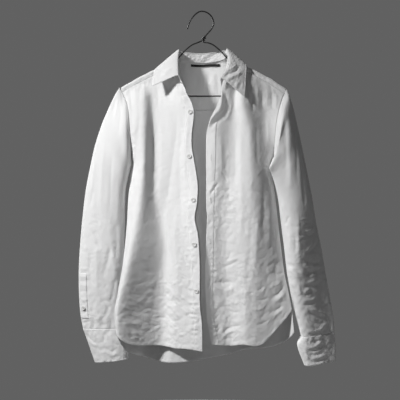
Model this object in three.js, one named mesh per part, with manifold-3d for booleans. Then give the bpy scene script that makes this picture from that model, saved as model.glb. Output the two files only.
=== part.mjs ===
// A long-sleeve button shirt that hangs, front open, on a coated wire hanger.
//
// Millimetres, +Z up. The origin is the point of the hanger's hook that bears on
// a rod or a peg. +X is to the right of somebody who faces the shirt's front,
// and the front faces -Y. The shirt hangs down from the origin, so heights are
// written as a drop: how far a point lies below the hook's seat.
//
// Each cloth piece is a wall of even thickness round a middle surface. A body
// panel's surface runs along fold lines, which are ridges and valleys that fall
// from the shoulder to the hem; a table gives where each line is at some drops.
// A sleeve's surface runs through rings from the armhole to the cuff. Pieces
// that are sewn together share the line of their seam and stop short of it.
import * as THREE from "three";
import Module from "manifold-3d";

// ---- Driving dimensions ---------------------------------------------------

const SHIRTING = 1.2; // wall of a single panel
const INTERLINED = 1.8; // wall of the collar and the cuffs, which are stiffened
const STRIP = 1.0; // wall of a placket strip laid on a panel
const LAID_GAP = 0.45; // air between a panel and what is laid on it
const SIDE_LAP = 0.8; // front and back lie this far before and behind the side seam

const WIRE_RADIUS = 1.6; // coated hanger wire
const WIRE_SIDES = 8;
const NECK = { x: 1.5, drop: 70 }; // where the wire is twisted round itself
const SHOULDER_SEAM_FALL = 14; // the front yoke seam lies this far below the ridge
const YOKE_SEAM_DROP = 234; // the back yoke seam is level

const BUTTON = { radius: 5.3, thickness: 2.4, sides: 12 };

// ---- Small helpers ---------------------------------------------------------

const clamp01 = (t) => Math.min(1, Math.max(0, t));
const mix = (a, b, t) => a + (b - a) * t;
const smooth = (t) => clamp01(t) ** 2 * (3 - 2 * clamp01(t));
const point = (x, y, drop) => new THREE.Vector3(x, y, -drop);

// A smooth curve through a table's rows: column `out` as a function of column `at`.
function through(rows, at, out) {
  const t = rows.map((row) => row[at]);
  const p = rows.map((row) => row[out]);
  const slope = t.map((_, i) => {
    const a = Math.max(0, i - 1);
    const b = Math.min(t.length - 1, i + 1);
    return (p[b] - p[a]) / (t[b] - t[a]);
  });
  return (value) => {
    if (value <= t[0]) return p[0];
    if (value >= t.at(-1)) return p.at(-1);
    const i = t.findIndex((knot) => knot > value) - 1;
    const h = t[i + 1] - t[i];
    const s = (value - t[i]) / h;
    const hermite = (2 * s - 3) * s * s;
    return (
      p[i] * (1 + hermite) -
      p[i + 1] * hermite +
      h * s * (1 - s) * (slope[i] * (1 - s) - slope[i + 1] * s)
    );
  };
}

// ---- Walls ------------------------------------------------------------------

// The surface's unit normal at (u, v), by differences.
function normalAt(surface, u, v) {
  const step = 1e-3;
  const along = surface(Math.min(1, u + step), v).sub(surface(Math.max(0, u - step), v));
  const down = surface(u, Math.min(1, v + step)).sub(surface(u, Math.max(0, v - step)));
  return along.cross(down).normalize();
}

// One closed wall round surface(u, v), with u and v from 0 to 1, on a grid of
// columns by rows. A tube closes in u. A piece laid on a panel takes the panel's
// surface and grid, lifts it, and keeps a window of it: columns c0..c1, rows r0..r1.
function wall(surface, thickness, columns, rows, { tube = false, lift = 0, window } = {}) {
  const across = tube ? columns : columns + 1;
  const grid = [];
  for (let j = 0; j <= rows; j++)
    for (let i = 0; i < across; i++) grid.push(surface(i / columns, j / rows));
  const at = (i, j) => {
    const column = tube ? (i + across) % across : Math.min(across - 1, Math.max(0, i));
    return grid[Math.min(rows, Math.max(0, j)) * across + column];
  };
  const { c0 = 0, c1 = columns, r0 = 0, r1 = rows } = window ?? {};
  const wide = tube ? across : c1 - c0 + 1;
  const outer = [];
  const inner = [];
  for (let j = r0; j <= r1; j++)
    for (let i = c0; i < c0 + wide; i++) {
      const along = at(i + 1, j).clone().sub(at(i - 1, j));
      const down = at(i, j + 1).clone().sub(at(i, j - 1));
      const normal = along.cross(down).normalize();
      outer.push(at(i, j).clone().addScaledVector(normal, lift + thickness / 2));
      inner.push(at(i, j).clone().addScaledVector(normal, lift - thickness / 2));
    }
  const vertices = [...outer, ...inner].flatMap((p) => [p.x, p.y, p.z]);
  const faces = [];
  const behind = outer.length;
  const quad = (a, b, c, d) => faces.push(a, b, c, a, c, d);
  const id = (i, j) => j * wide + (tube ? i % wide : i);
  const [facesWide, facesHigh] = [c1 - c0, r1 - r0];
  for (let j = 0; j < facesHigh; j++)
    for (let i = 0; i < facesWide; i++) {
      const [a, b, c, d] = [id(i, j), id(i + 1, j), id(i + 1, j + 1), id(i, j + 1)];
      quad(a, d, c, b);
      quad(behind + a, behind + b, behind + c, behind + d);
    }
  for (let i = 0; i < facesWide; i++) {
    const [a, b, c, d] = [id(i, 0), id(i + 1, 0), id(i, facesHigh), id(i + 1, facesHigh)];
    quad(a, b, behind + b, behind + a);
    quad(c, behind + c, behind + d, d);
  }
  for (let j = 0; j < facesHigh && !tube; j++) {
    const [a, b, c, d] = [id(0, j), id(0, j + 1), id(facesWide, j), id(facesWide, j + 1)];
    quad(a, behind + a, behind + b, b);
    quad(c, d, behind + d, behind + c);
  }
  return outwards(vertices, faces);
}

// A round bar along a list of points, closed at both ends.
function bar(points, radius, sides) {
  const vertices = [];
  const faces = [];
  let side = new THREE.Vector3(0, 1, 0);
  points.forEach((p, k) => {
    const ahead = points[Math.min(points.length - 1, k + 1)];
    const tangent = ahead.clone().sub(points[Math.max(0, k - 1)]).normalize();
    side = side.clone().addScaledVector(tangent, -side.dot(tangent)).normalize();
    const up = tangent.clone().cross(side);
    for (let i = 0; i < sides; i++) {
      const angle = (2 * Math.PI * i) / sides;
      const q = p
        .clone()
        .addScaledVector(side, radius * Math.cos(angle))
        .addScaledVector(up, radius * Math.sin(angle));
      vertices.push(q.x, q.y, q.z);
    }
  });
  const last = (points.length - 1) * sides;
  for (let k = 0; k < points.length - 1; k++)
    for (let i = 0; i < sides; i++) {
      const [a, b] = [k * sides + i, k * sides + ((i + 1) % sides)];
      faces.push(a, b, b + sides, a, b + sides, a + sides);
    }
  for (let i = 1; i < sides - 1; i++) {
    faces.push(0, i + 1, i);
    faces.push(last, last + i, last + i + 1);
  }
  return outwards(vertices, faces);
}

// A geometry whose faces point out: a closed mesh of negative volume is turned.
function outwards(vertices, faces) {
  const p = (i) => new THREE.Vector3().fromArray(vertices, 3 * i);
  let volume = 0;
  for (let i = 0; i < faces.length; i += 3)
    volume += p(faces[i]).dot(p(faces[i + 1]).cross(p(faces[i + 2])));
  if (volume < 0)
    for (let i = 0; i < faces.length; i += 3)
      [faces[i + 1], faces[i + 2]] = [faces[i + 2], faces[i + 1]];
  const geometry = new THREE.BufferGeometry();
  geometry.setAttribute("position", new THREE.Float32BufferAttribute(vertices, 3));
  geometry.setIndex(faces);
  geometry.computeVertexNormals();
  return geometry;
}

// ---- The hanger's line, and the shoulder ridge that lies on it --------------

// The arm's centre line: it leaves the neck steeply and then runs straight.
const ARM = [
  { reach: 0, drop: 73 },
  { reach: 14, drop: 75 },
  { reach: 26, drop: 80 },
  { reach: 42, drop: 93 },
  { reach: 53, drop: 105 },
  { reach: 62, drop: 115 },
  { reach: 70, drop: 120 },
  { reach: 110, drop: 140 },
  { reach: 150, drop: 160 },
  { reach: 186, drop: 179.8 },
];
// The end's bend, from the arm round to the bottom bar.
const ARM_END = [
  { reach: 193, drop: 184 },
  { reach: 197.5, drop: 188.5 },
  { reach: 199, drop: 194 },
  { reach: 196.5, drop: 200 },
  { reach: 190, drop: 203 },
];
// The hook, from its tip over the seat and down the stem.
const HOOK = [
  { x: -35, drop: 40 },
  { x: -31, drop: 27 },
  { x: -22, drop: 12 },
  { x: -10, drop: 1.2 },
  { x: 0, drop: -WIRE_RADIUS },
  { x: 12, drop: 1.4 },
  { x: 23, drop: 11 },
  { x: 28.5, drop: 27 },
  { x: 23, drop: 41 },
  { x: 12, drop: 54 },
  { x: 6, drop: 61 },
  { x: 2.5, drop: 68 },
];
const COIL = { turns: 2.3, top: { x: 7.5, drop: 59.5 }, bottom: { x: 2, drop: 70.5 } };
const armDrop = through(ARM, "reach", "drop");
const RIDGE_ABOVE_WIRE = WIRE_RADIUS + SHIRTING / 2 + 1.2;
const NECK_HALF_WIDTH = 60;
const NECK_BACK_DROP = 107; // the ridge line carried on level across the neck
const NECK_TENT = 4; // the ridge stands off the wire's steep part by this much more
const LEFT_SLACK = 3; // the left shoulder stands off the wire by this much more

// The ridge's drop at x: on the wire along the arms, level behind the neck.
function ridgeDrop(x) {
  const reach = Math.abs(x - NECK.x);
  const slack = x > 0 ? smooth((reach - 60) / 40) * (1 - smooth((reach - 165) / 25)) : 0;
  const tent = NECK_TENT * (1 - smooth((reach - 66) / 25));
  const above = RIDGE_ABOVE_WIRE + tent + LEFT_SLACK * slack;
  const onWire = armDrop(Math.max(reach, 66)) - above;
  const past = Math.max(0, reach - 186) * 0.58;
  return mix(NECK_BACK_DROP, onWire + past, smooth((reach - 30) / 30));
}

// ---- Seam lines of the body ---------------------------------------------------

// Armhole and side seam: x, and the depth of the front's and the back's edge.
// They meet at the shoulder tip and from the underarm down.
const RIGHT_SIDE = [
  { drop: 180, x: -201, front: -6, back: 6 },
  { drop: 203, x: -189, front: -9, back: 11 },
  { drop: 232, x: -178, front: -21, back: 19 },
  { drop: 270, x: -173, front: -28, back: 23 },
  { drop: 310, x: -171, front: -25, back: 19 },
  { drop: 345, x: -169, front: -16, back: 8 },
  { drop: 368, x: -168, front: -8, back: -8 },
  { drop: 404, x: -173, front: -9, back: -9 },
  { drop: 457, x: -178, front: -11, back: -11 },
  { drop: 520, x: -181, front: -16, back: -16 },
  { drop: 607, x: -189, front: -28, back: -28 },
  { drop: 675, x: -200, front: -38, back: -38 },
  { drop: 724, x: -207, front: -43, back: -43 },
  { drop: 790, x: -202, front: -40, back: -40 },
];
const LEFT_SIDE = [
  { drop: 180, x: 208, front: -6, back: 6 },
  { drop: 205, x: 196, front: -9, back: 11 },
  { drop: 235, x: 185, front: -21, back: 19 },
  { drop: 275, x: 177, front: -28, back: 23 },
  { drop: 312, x: 174, front: -24, back: 18 },
  { drop: 343, x: 172, front: -13, back: 7 },
  { drop: 364, x: 170, front: -7, back: -7 },
  { drop: 400, x: 169, front: -4, back: -4 },
  { drop: 430, x: 174, front: -5, back: -5 },
  { drop: 470, x: 179, front: -8, back: -8 },
  { drop: 545, x: 187, front: -14, back: -14 },
  { drop: 627, x: 197, front: -21, back: -21 },
  { drop: 680, x: 208, front: -27, back: -27 },
  { drop: 720, x: 215, front: -30, back: -30 },
  { drop: 790, x: 222, front: -28, back: -28 },
];
const UNDERARM = { right: 368, left: 364 };

// Hem lines: the drop of the lower edge at x.
const RIGHT_FRONT_HEM = [
  { x: -208, drop: 758 },
  { x: -196, drop: 780 },
  { x: -168, drop: 799 },
  { x: -126, drop: 804 },
  { x: -66, drop: 809 },
  { x: -34, drop: 808 },
  { x: 2, drop: 812 },
];
const LEFT_FRONT_HEM = [
  { x: 20, drop: 798 },
  { x: 65, drop: 803 },
  { x: 97, drop: 798 },
  { x: 128, drop: 801 },
  { x: 146, drop: 795 },
  { x: 180, drop: 760 },
  { x: 210, drop: 724 },
  { x: 216, drop: 712 },
];
const BACK_HEM = [
  { x: -208, drop: 757 },
  { x: -197, drop: 790 },
  { x: -183, drop: 818 },
  { x: -137, drop: 836 },
  { x: -90, drop: 849 },
  { x: -24, drop: 846 },
  { x: 39, drop: 833 },
  { x: 80, drop: 828 },
  { x: 131, drop: 817 },
  { x: 187, drop: 805 },
  { x: 210, drop: 787 },
  { x: 226, drop: 758 },
  { x: 232, drop: 738 },
];

// ---- Fold lines of the body panels --------------------------------------------

// Each line: how far round the panel it lies, and its x and y at some drops.
const RIGHT_FRONT = [
  {
    name: "edge",
    u: 0,
    line: [
      { drop: 113, x: -62, y: -7 },
      { drop: 150, x: -53, y: -23 },
      { drop: 180, x: -44, y: -35 },
      { drop: 203, x: -36, y: -43 },
      { drop: 226, x: -24, y: -48 },
      { drop: 250, x: -19, y: -52 },
      { drop: 300, x: -24, y: -54 },
      { drop: 330, x: -24, y: -55 },
      { drop: 365, x: -18, y: -56 },
      { drop: 421, x: -10, y: -58 },
      { drop: 465, x: -12, y: -60 },
      { drop: 498, x: -17, y: -60 },
      { drop: 540, x: -9, y: -62 },
      { drop: 620, x: -5, y: -62 },
      { drop: 700, x: -5, y: -62 },
      { drop: 750, x: 0, y: -60 },
      { drop: 815, x: 1, y: -57 },
    ],
  },
  {
    name: "placket seam",
    u: 0.15,
    line: [
      { drop: 128, x: -69, y: -8 },
      { drop: 180, x: -64, y: -32 },
      { drop: 215, x: -48, y: -43 },
      { drop: 250, x: -39, y: -49 },
      { drop: 330, x: -43, y: -51 },
      { drop: 421, x: -31, y: -54 },
      { drop: 498, x: -36, y: -55 },
      { drop: 620, x: -25, y: -58 },
      { drop: 750, x: -20, y: -55 },
      { drop: 815, x: -20, y: -51 },
    ],
  },
  {
    name: "chest rise",
    u: 0.38,
    line: [
      { drop: 138, x: -88, y: -8 },
      { drop: 186, x: -86, y: -20 },
      { drop: 230, x: -78, y: -35 },
      { drop: 283, x: -72, y: -40 },
      { drop: 380, x: -76, y: -38 },
      { drop: 457, x: -80, y: -36 },
      { drop: 545, x: -72, y: -42 },
      { drop: 620, x: -64, y: -44 },
      { drop: 720, x: -62, y: -36 },
      { drop: 815, x: -62, y: -30 },
    ],
  },
  {
    name: "long valley",
    u: 0.62,
    line: [
      { drop: 156, x: -121, y: -8 },
      { drop: 203, x: -119, y: -18 },
      { drop: 283, x: -117, y: -24 },
      { drop: 400, x: -116, y: -27 },
      { drop: 457, x: -115, y: -28 },
      { drop: 560, x: -110, y: -24 },
      { drop: 640, x: -107, y: -18 },
      { drop: 720, x: -105, y: -12 },
      { drop: 815, x: -105, y: -8 },
    ],
  },
  {
    name: "side ridge",
    u: 0.82,
    line: [
      { drop: 176, x: -156, y: -8 },
      { drop: 208, x: -146, y: -26 },
      { drop: 283, x: -145, y: -39 },
      { drop: 400, x: -149, y: -43 },
      { drop: 457, x: -153, y: -45 },
      { drop: 560, x: -167, y: -49 },
      { drop: 640, x: -181, y: -53 },
      { drop: 720, x: -194, y: -56 },
      { drop: 815, x: -186, y: -50 },
    ],
  },
  { name: "side", u: 1, side: RIGHT_SIDE, depth: "front" },
];

const LEFT_FRONT = [
  {
    name: "edge",
    u: 0,
    line: [
      { drop: 113, x: 65, y: -7 },
      { drop: 145, x: 60, y: -24 },
      { drop: 172, x: 52, y: -37 },
      { drop: 192, x: 47, y: -47 },
      { drop: 211, x: 44, y: -54 },
      { drop: 236, x: 33, y: -60 },
      { drop: 261, x: 20, y: -60 },
      { drop: 281, x: 14, y: -56 },
      { drop: 305, x: 10, y: -51 },
      { drop: 400, x: 10, y: -48 },
      { drop: 470, x: 10, y: -48 },
      { drop: 496, x: 12, y: -48 },
      { drop: 560, x: 9, y: -47 },
      { drop: 651, x: 7, y: -45 },
      { drop: 720, x: 10, y: -44 },
      { drop: 765, x: 15, y: -42 },
      { drop: 803, x: 23, y: -40 },
    ],
  },
  {
    name: "lapel hollow",
    u: 0.13,
    line: [
      { drop: 131, x: 78, y: -8 },
      { drop: 172, x: 68, y: -31 },
      { drop: 211, x: 63, y: -40 },
      { drop: 236, x: 56, y: -43 },
      { drop: 261, x: 44, y: -45 },
      { drop: 283, x: 37, y: -46 },
      { drop: 341, x: 30, y: -47 },
      { drop: 457, x: 28, y: -46 },
      { drop: 600, x: 26, y: -44 },
      { drop: 720, x: 28, y: -39 },
      { drop: 803, x: 42, y: -34 },
    ],
  },
  {
    name: "front valley",
    u: 0.33,
    line: [
      { drop: 137, x: 92, y: -8 },
      { drop: 172, x: 84, y: -24 },
      { drop: 211, x: 78, y: -32 },
      { drop: 256, x: 72, y: -36 },
      { drop: 283, x: 68, y: -37 },
      { drop: 341, x: 64, y: -38 },
      { drop: 399, x: 60, y: -39 },
      { drop: 457, x: 57, y: -40 },
      { drop: 545, x: 52, y: -40 },
      { drop: 660, x: 52, y: -35 },
      { drop: 803, x: 64, y: -28 },
    ],
  },
  {
    name: "front ridge",
    u: 0.56,
    line: [
      { drop: 146, x: 112, y: -8 },
      { drop: 172, x: 98, y: -28 },
      { drop: 211, x: 95, y: -42 },
      { drop: 256, x: 106, y: -47 },
      { drop: 283, x: 113, y: -48 },
      { drop: 341, x: 121, y: -49 },
      { drop: 457, x: 129, y: -51 },
      { drop: 545, x: 125, y: -52 },
      { drop: 660, x: 116, y: -52 },
      { drop: 760, x: 112, y: -50 },
      { drop: 803, x: 109, y: -48 },
    ],
  },
  {
    name: "underarm valley",
    u: 0.8,
    line: [
      { drop: 167, x: 152, y: -8 },
      { drop: 206, x: 148, y: -15 },
      { drop: 254, x: 150, y: -22 },
      { drop: 312, x: 152, y: -28 },
      { drop: 370, x: 155, y: -28 },
      { drop: 430, x: 158, y: -31 },
      { drop: 500, x: 161, y: -35 },
      { drop: 560, x: 164, y: -36 },
      { drop: 660, x: 174, y: -36 },
      { drop: 760, x: 180, y: -34 },
    ],
  },
  { name: "side", u: 1, side: LEFT_SIDE, depth: "front" },
];

// The back, from the right side seam to the left one: y is how far it lies back.
const BACK = [
  { name: "right side", u: 0, side: RIGHT_SIDE, depth: "back" },
  {
    name: "right blade",
    u: 0.1,
    line: [
      { drop: 230, x: -146, y: 24 },
      { drop: 330, x: -144, y: 14 },
      { drop: 457, x: -152, y: 12 },
      { drop: 600, x: -164, y: 4 },
      { drop: 720, x: -182, y: -18 },
      { drop: 800, x: -179, y: -9 },
      { drop: 850, x: -176, y: -4 },
    ],
  },
  {
    name: "right hollow",
    u: 0.23,
    line: [
      { drop: 230, x: -105, y: 29 },
      { drop: 330, x: -106, y: 34 },
      { drop: 457, x: -110, y: 36 },
      { drop: 600, x: -114, y: 36 },
      { drop: 720, x: -118, y: 32 },
      { drop: 800, x: -116, y: 17 },
      { drop: 850, x: -114, y: 9 },
    ],
  },
  {
    name: "right flute",
    u: 0.35,
    line: [
      { drop: 230, x: -62, y: 31 },
      { drop: 330, x: -62, y: 20 },
      { drop: 457, x: -64, y: 12 },
      { drop: 600, x: -66, y: 8 },
      { drop: 720, x: -68, y: 4 },
      { drop: 850, x: -70, y: 2 },
    ],
  },
  {
    name: "middle hollow",
    u: 0.47,
    line: [
      { drop: 230, x: -18, y: 33 },
      { drop: 330, x: -16, y: 38 },
      { drop: 457, x: -16, y: 40 },
      { drop: 600, x: -14, y: 40 },
      { drop: 720, x: -14, y: 34 },
      { drop: 800, x: -16, y: 16 },
      { drop: 850, x: -18, y: 4 },
    ],
  },
  {
    name: "middle flute",
    u: 0.59,
    line: [
      { drop: 230, x: 27, y: 32 },
      { drop: 330, x: 28, y: 20 },
      { drop: 457, x: 30, y: 13 },
      { drop: 600, x: 34, y: 9 },
      { drop: 720, x: 40, y: 4 },
      { drop: 840, x: 44, y: 2 },
    ],
  },
  {
    name: "left hollow",
    u: 0.71,
    line: [
      { drop: 230, x: 72, y: 31 },
      { drop: 330, x: 74, y: 36 },
      { drop: 457, x: 78, y: 38 },
      { drop: 600, x: 86, y: 38 },
      { drop: 720, x: 96, y: 36 },
      { drop: 840, x: 100, y: 33 },
    ],
  },
  {
    name: "left flute",
    u: 0.83,
    line: [
      { drop: 230, x: 116, y: 27 },
      { drop: 330, x: 117, y: 17 },
      { drop: 457, x: 122, y: 13 },
      { drop: 600, x: 132, y: 10 },
      { drop: 720, x: 148, y: 6 },
      { drop: 830, x: 156, y: 6 },
    ],
  },
  {
    name: "left blade",
    u: 0.93,
    line: [
      { drop: 230, x: 154, y: 24 },
      { drop: 330, x: 150, y: 18 },
      { drop: 457, x: 156, y: 18 },
      { drop: 600, x: 170, y: 12 },
      { drop: 720, x: 192, y: 2 },
      { drop: 830, x: 196, y: 4 },
    ],
  },
  { name: "left side", u: 1, side: LEFT_SIDE, depth: "back" },
];

// The point of a panel on fold parameter u at a drop: a smooth section through its lines.
function sectionOf(lines) {
  const lap = { front: -SIDE_LAP, back: SIDE_LAP };
  const knots = lines.map((fold) => ({
    u: fold.u,
    x: through(fold.line ?? fold.side, "drop", "x"),
    y: through(fold.line ?? fold.side, "drop", fold.side ? fold.depth : "y"),
    lap: lap[fold.depth] ?? 0,
  }));
  return (u, drop) => {
    const rows = knots.map((knot) => ({
      u: knot.u,
      x: knot.x(drop),
      y: knot.y(drop) + knot.lap,
    }));
    return { x: through(rows, "u", "x")(u), y: through(rows, "u", "y")(u) };
  };
}

// The drop at which the fold at u meets a line given as drop = line(x).
function meets(section, u, line, start) {
  let drop = start;
  for (let turn = 0; turn < 40; turn++) drop = mix(drop, line(section(u, drop).x), 0.5);
  return drop;
}

// A panel's surface: u across its folds, v from its top seam to its hem.
function panel(lines, top, hem, topStart) {
  const section = sectionOf(lines);
  const ends = new Map();
  const endsAt = (u) => {
    const key = u.toFixed(5);
    if (!ends.has(key))
      ends.set(key, { top: meets(section, u, top, topStart), hem: meets(section, u, hem, 800) });
    return ends.get(key);
  };
  return (u, v) => {
    const end = endsAt(u);
    const drop = mix(end.top, end.hem, v);
    const { x, y } = section(u, drop);
    return point(x, y, drop);
  };
}

// The part of a surface that stops a share short of its seams.
const within = (surface, u0, u1, v0, v1) => (u, v) => surface(mix(u0, u1, u), mix(v0, v1, v));

// ---- Yoke -----------------------------------------------------------------------

// The yoke goes from the front seam over the ridge and down to the back seam.
// Behind the neck it starts at the neckline, an oval seen from above.
const NECK_DEPTH = 33;
const FRONT_LEG = 6; // the front leg stands this far in front of the wire
const armholeX = {
  right: through(RIGHT_SIDE, "drop", "x"),
  left: through(LEFT_SIDE, "drop", "x"),
};

// How far the back leg stands off the ridge, and how high the bend over it is.
function bendAt(x) {
  const reach = Math.abs(x - NECK.x);
  const off = mix(26, 7, smooth(reach / 175)) + 8 * (1 - smooth(reach / NECK_HALF_WIDTH));
  return { off, high: mix(18, 6, smooth(reach / 110)) };
}

// How far round the bend the yoke starts at x: at the neckline, or right in front.
function yokeStart(x) {
  const reach = Math.abs(x - NECK.x) / NECK_HALF_WIDTH;
  if (reach >= 1) return (-Math.PI / 2) * smooth((reach - 1) / 0.33);
  return Math.asin(Math.min(1, (NECK_DEPTH * Math.sqrt(1 - reach ** 2)) / bendAt(x).off));
}

// A point on the bend over the ridge at x, an angle round from its top.
function onBend(x, angle) {
  const { off, high } = bendAt(x);
  const y = (angle < 0 ? FRONT_LEG : off) * Math.sin(angle);
  return point(x, y, ridgeDrop(x) + high * (1 - Math.cos(angle)));
}

// The front yoke seam's drop at x: near the neck it climbs with the yoke's edge.
function shoulderSeam(x) {
  const start = yokeStart(x);
  if (start < -1.5) return ridgeDrop(x) + SHOULDER_SEAM_FALL;
  return -onBend(x, Math.min(0, start)).z;
}

const rightFront = panel(RIGHT_FRONT, shoulderSeam, through(RIGHT_FRONT_HEM, "x", "drop"), 150);
const leftFront = panel(LEFT_FRONT, shoulderSeam, through(LEFT_FRONT_HEM, "x", "drop"), 150);
const back = panel(BACK, () => YOKE_SEAM_DROP, through(BACK_HEM, "x", "drop"), 234);

const backSection = sectionOf(BACK);

// The yoke's own x at a share of its width: it narrows with the armholes' curve.
const yokeX = (u, drop) =>
  mix(armholeX.right(drop) + 1.4, armholeX.left(drop) - 1.4, u);

// One row of the yoke's grid is in front, six go round the bend, the rest are behind.
const YOKE_ROWS = 12;
const YOKE_FRONT = 1 / YOKE_ROWS;
const YOKE_BEND = 7 / YOKE_ROWS;
const YOKE_END = 0.997; // share of its length at which it stops, for the seam's gap

function yoke(u, length) {
  const behind = Math.max(0, length - YOKE_BEND) / (1 - YOKE_BEND);
  const v = Math.min(length, YOKE_BEND) + behind * (YOKE_END - YOKE_BEND);
  const x0 = yokeX(u, 190);
  const { off, high } = bendAt(x0);
  const start = yokeStart(x0);
  const atNeck = start > -1.5;
  const front = Math.max(1, SHOULDER_SEAM_FALL - high);
  const crown = ridgeDrop(x0) + high;
  if (v < YOKE_FRONT && !atNeck)
    return point(x0, -FRONT_LEG, mix(crown + front, crown, v / YOKE_FRONT));
  if (v < YOKE_BEND) {
    const bendFrom = atNeck ? 0 : YOKE_FRONT;
    return onBend(x0, mix(start, Math.PI / 2, (v - bendFrom) / (YOKE_BEND - bendFrom)));
  }
  // The back leg ends on the back panel's top edge, so it closes in on that line.
  const share = (v - YOKE_BEND) / (1 - YOKE_BEND);
  const drop = mix(crown, YOKE_SEAM_DROP, share);
  const end = backSection(u, YOKE_SEAM_DROP);
  const x = mix(x0 - yokeX(u, crown) + yokeX(u, drop), end.x, smooth(share));
  return point(x, mix(off, end.y, smooth(share)), drop);
}

// A point moved out until it lies this far off the yoke.
function clearOfYoke(p, distance) {
  const { off, high } = bendAt(p.x);
  const up = Math.max(0, p.z + ridgeDrop(p.x) + high);
  const radial = Math.hypot(p.y / ((p.y < 0 ? FRONT_LEG : off) + distance), up / (high + distance));
  if (radial >= 1) return p;
  return new THREE.Vector3(p.x, p.y / radial, p.z + up * (1 / radial - 1));
}

// ---- Sleeves and cuffs --------------------------------------------------------------

// Each ring runs from an outer point to an inner one; front and back are how far
// it bulges each way, and skew moves the front's crest towards the inner point.
const RIGHT_SLEEVE = [
  { ring: 0, ox: -199, od: 184, oy: 0, ix: -168, id: 368, iy: -8, front: 8, back: 8, skew: 0 },
  { ring: 0.07, ox: -210, od: 202, oy: 0, ix: -172, id: 377, iy: -7, front: 20, back: 17, skew: 0.1 },
  { ring: 0.15, ox: -224, od: 230, oy: 1, ix: -176, id: 390, iy: -5, front: 26, back: 22, skew: 0.15 },
  { ring: 0.24, ox: -242, od: 272, oy: 2, ix: -180, id: 406, iy: -3, front: 29, back: 25, skew: 0.15 },
  { ring: 0.33, ox: -258, od: 320, oy: 4, ix: -184, id: 424, iy: 0, front: 30, back: 27, skew: 0.12 },
  { ring: 0.42, ox: -270, od: 372, oy: 5, ix: -186, id: 446, iy: 3, front: 31, back: 28, skew: 0.1 },
  { ring: 0.52, ox: -282, od: 434, oy: 6, ix: -187, id: 484, iy: 5, front: 31, back: 28, skew: 0.08 },
  { ring: 0.62, ox: -290, od: 502, oy: 7, ix: -188, id: 524, iy: 7, front: 30, back: 27, skew: 0.05 },
  { ring: 0.72, ox: -296, od: 570, oy: 8, ix: -190, id: 578, iy: 8, front: 29, back: 26, skew: 0 },
  { ring: 0.81, ox: -299, od: 632, oy: 9, ix: -192, id: 634, iy: 9, front: 28, back: 25, skew: 0 },
  { ring: 0.9, ox: -298, od: 696, oy: 10, ix: -194, id: 696, iy: 10, front: 26, back: 24, skew: 0 },
  { ring: 0.96, ox: -294, od: 740, oy: 10, ix: -193, id: 738, iy: 10, front: 24, back: 22, skew: 0 },
  { ring: 1, ox: -289, od: 765, oy: 10, ix: -191, id: 764, iy: 10, front: 21, back: 20, skew: 0 },
];
const LEFT_SLEEVE = [
  { ring: 0, ox: 206, od: 188, oy: 0, ix: 170, id: 364, iy: -7, front: 8, back: 8, skew: 0 },
  { ring: 0.05, ox: 213, od: 206, oy: 0, ix: 176, id: 368, iy: -27, front: 18, back: 15, skew: 0.1 },
  { ring: 0.11, ox: 222, od: 236, oy: 2, ix: 164, id: 372, iy: -35, front: 22, back: 15, skew: 0.2 },
  { ring: 0.19, ox: 232, od: 280, oy: 4, ix: 160, id: 380, iy: -38, front: 24, back: 19, skew: 0.25 },
  { ring: 0.28, ox: 243, od: 330, oy: 7, ix: 167, id: 396, iy: -32, front: 26, back: 24, skew: 0.3 },
  { ring: 0.37, ox: 254, od: 384, oy: 9, ix: 176, id: 424, iy: -25, front: 28, back: 25, skew: 0.3 },
  { ring: 0.48, ox: 267, od: 446, oy: 10, ix: 184, id: 460, iy: -16, front: 30, back: 25, skew: 0.3 },
  { ring: 0.58, ox: 277, od: 508, oy: 11, ix: 190, id: 512, iy: -11, front: 30, back: 25, skew: 0.28 },
  { ring: 0.68, ox: 290, od: 570, oy: 11, ix: 198, id: 572, iy: -8, front: 30, back: 25, skew: 0.2 },
  { ring: 0.78, ox: 302, od: 640, oy: 11, ix: 206, id: 640, iy: -5, front: 29, back: 24, skew: 0.15 },
  { ring: 0.88, ox: 314, od: 706, oy: 10, ix: 219, id: 706, iy: -2, front: 27, back: 24, skew: 0.1 },
  { ring: 0.95, ox: 321, od: 750, oy: 8, ix: 231, id: 752, iy: 0, front: 24, back: 22, skew: 0.05 },
  { ring: 1, ox: 322, od: 776, oy: 7, ix: 238, id: 781, iy: 2, front: 21, back: 20, skew: 0 },
];
const RIGHT_CUFF = [
  { ring: 0, ox: -289, od: 766.2, oy: 10, ix: -191, id: 765.2, iy: 10, front: 21, back: 20, skew: 0 },
  { ring: 0.5, ox: -274, od: 808, oy: 10, ix: -184, id: 803, iy: 9, front: 22, back: 20, skew: 0 },
  { ring: 1, ox: -260, od: 849, oy: 10, ix: -178, id: 840, iy: 8, front: 21, back: 19, skew: 0 },
];
const LEFT_CUFF = [
  { ring: 0, ox: 322, od: 777.2, oy: 7, ix: 238, id: 782.2, iy: 2, front: 21, back: 20, skew: 0 },
  { ring: 0.4, ox: 325, od: 812, oy: 6, ix: 230, id: 804, iy: 2, front: 22, back: 20, skew: 0 },
  { ring: 1, ox: 324, od: 846, oy: 5, ix: 247, id: 853, iy: 2, front: 20, back: 18, skew: 0 },
];

// A tube through rings. turn runs once round from the outer point over the front.
function tubeOf(rows) {
  const columns = ["ox", "od", "oy", "ix", "id", "iy", "front", "back", "skew"];
  const ring = Object.fromEntries(columns.map((key) => [key, through(rows, "ring", key)]));
  return (turn, v) => {
    const angle = 2 * Math.PI * turn;
    const share = (1 - Math.cos(angle)) / 2;
    const facing = Math.sin(angle) > 0 ? ring.front(v) : ring.back(v);
    const crest = Math.sin(angle) > 0 ? 1 + ring.skew(v) * (share - 0.5) * 2 : 1;
    return point(
      mix(ring.ox(v), ring.ix(v), share),
      mix(ring.oy(v), ring.iy(v), share) - facing * Math.sin(angle) * crest,
      mix(ring.od(v), ring.id(v), share),
    );
  };
}

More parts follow.
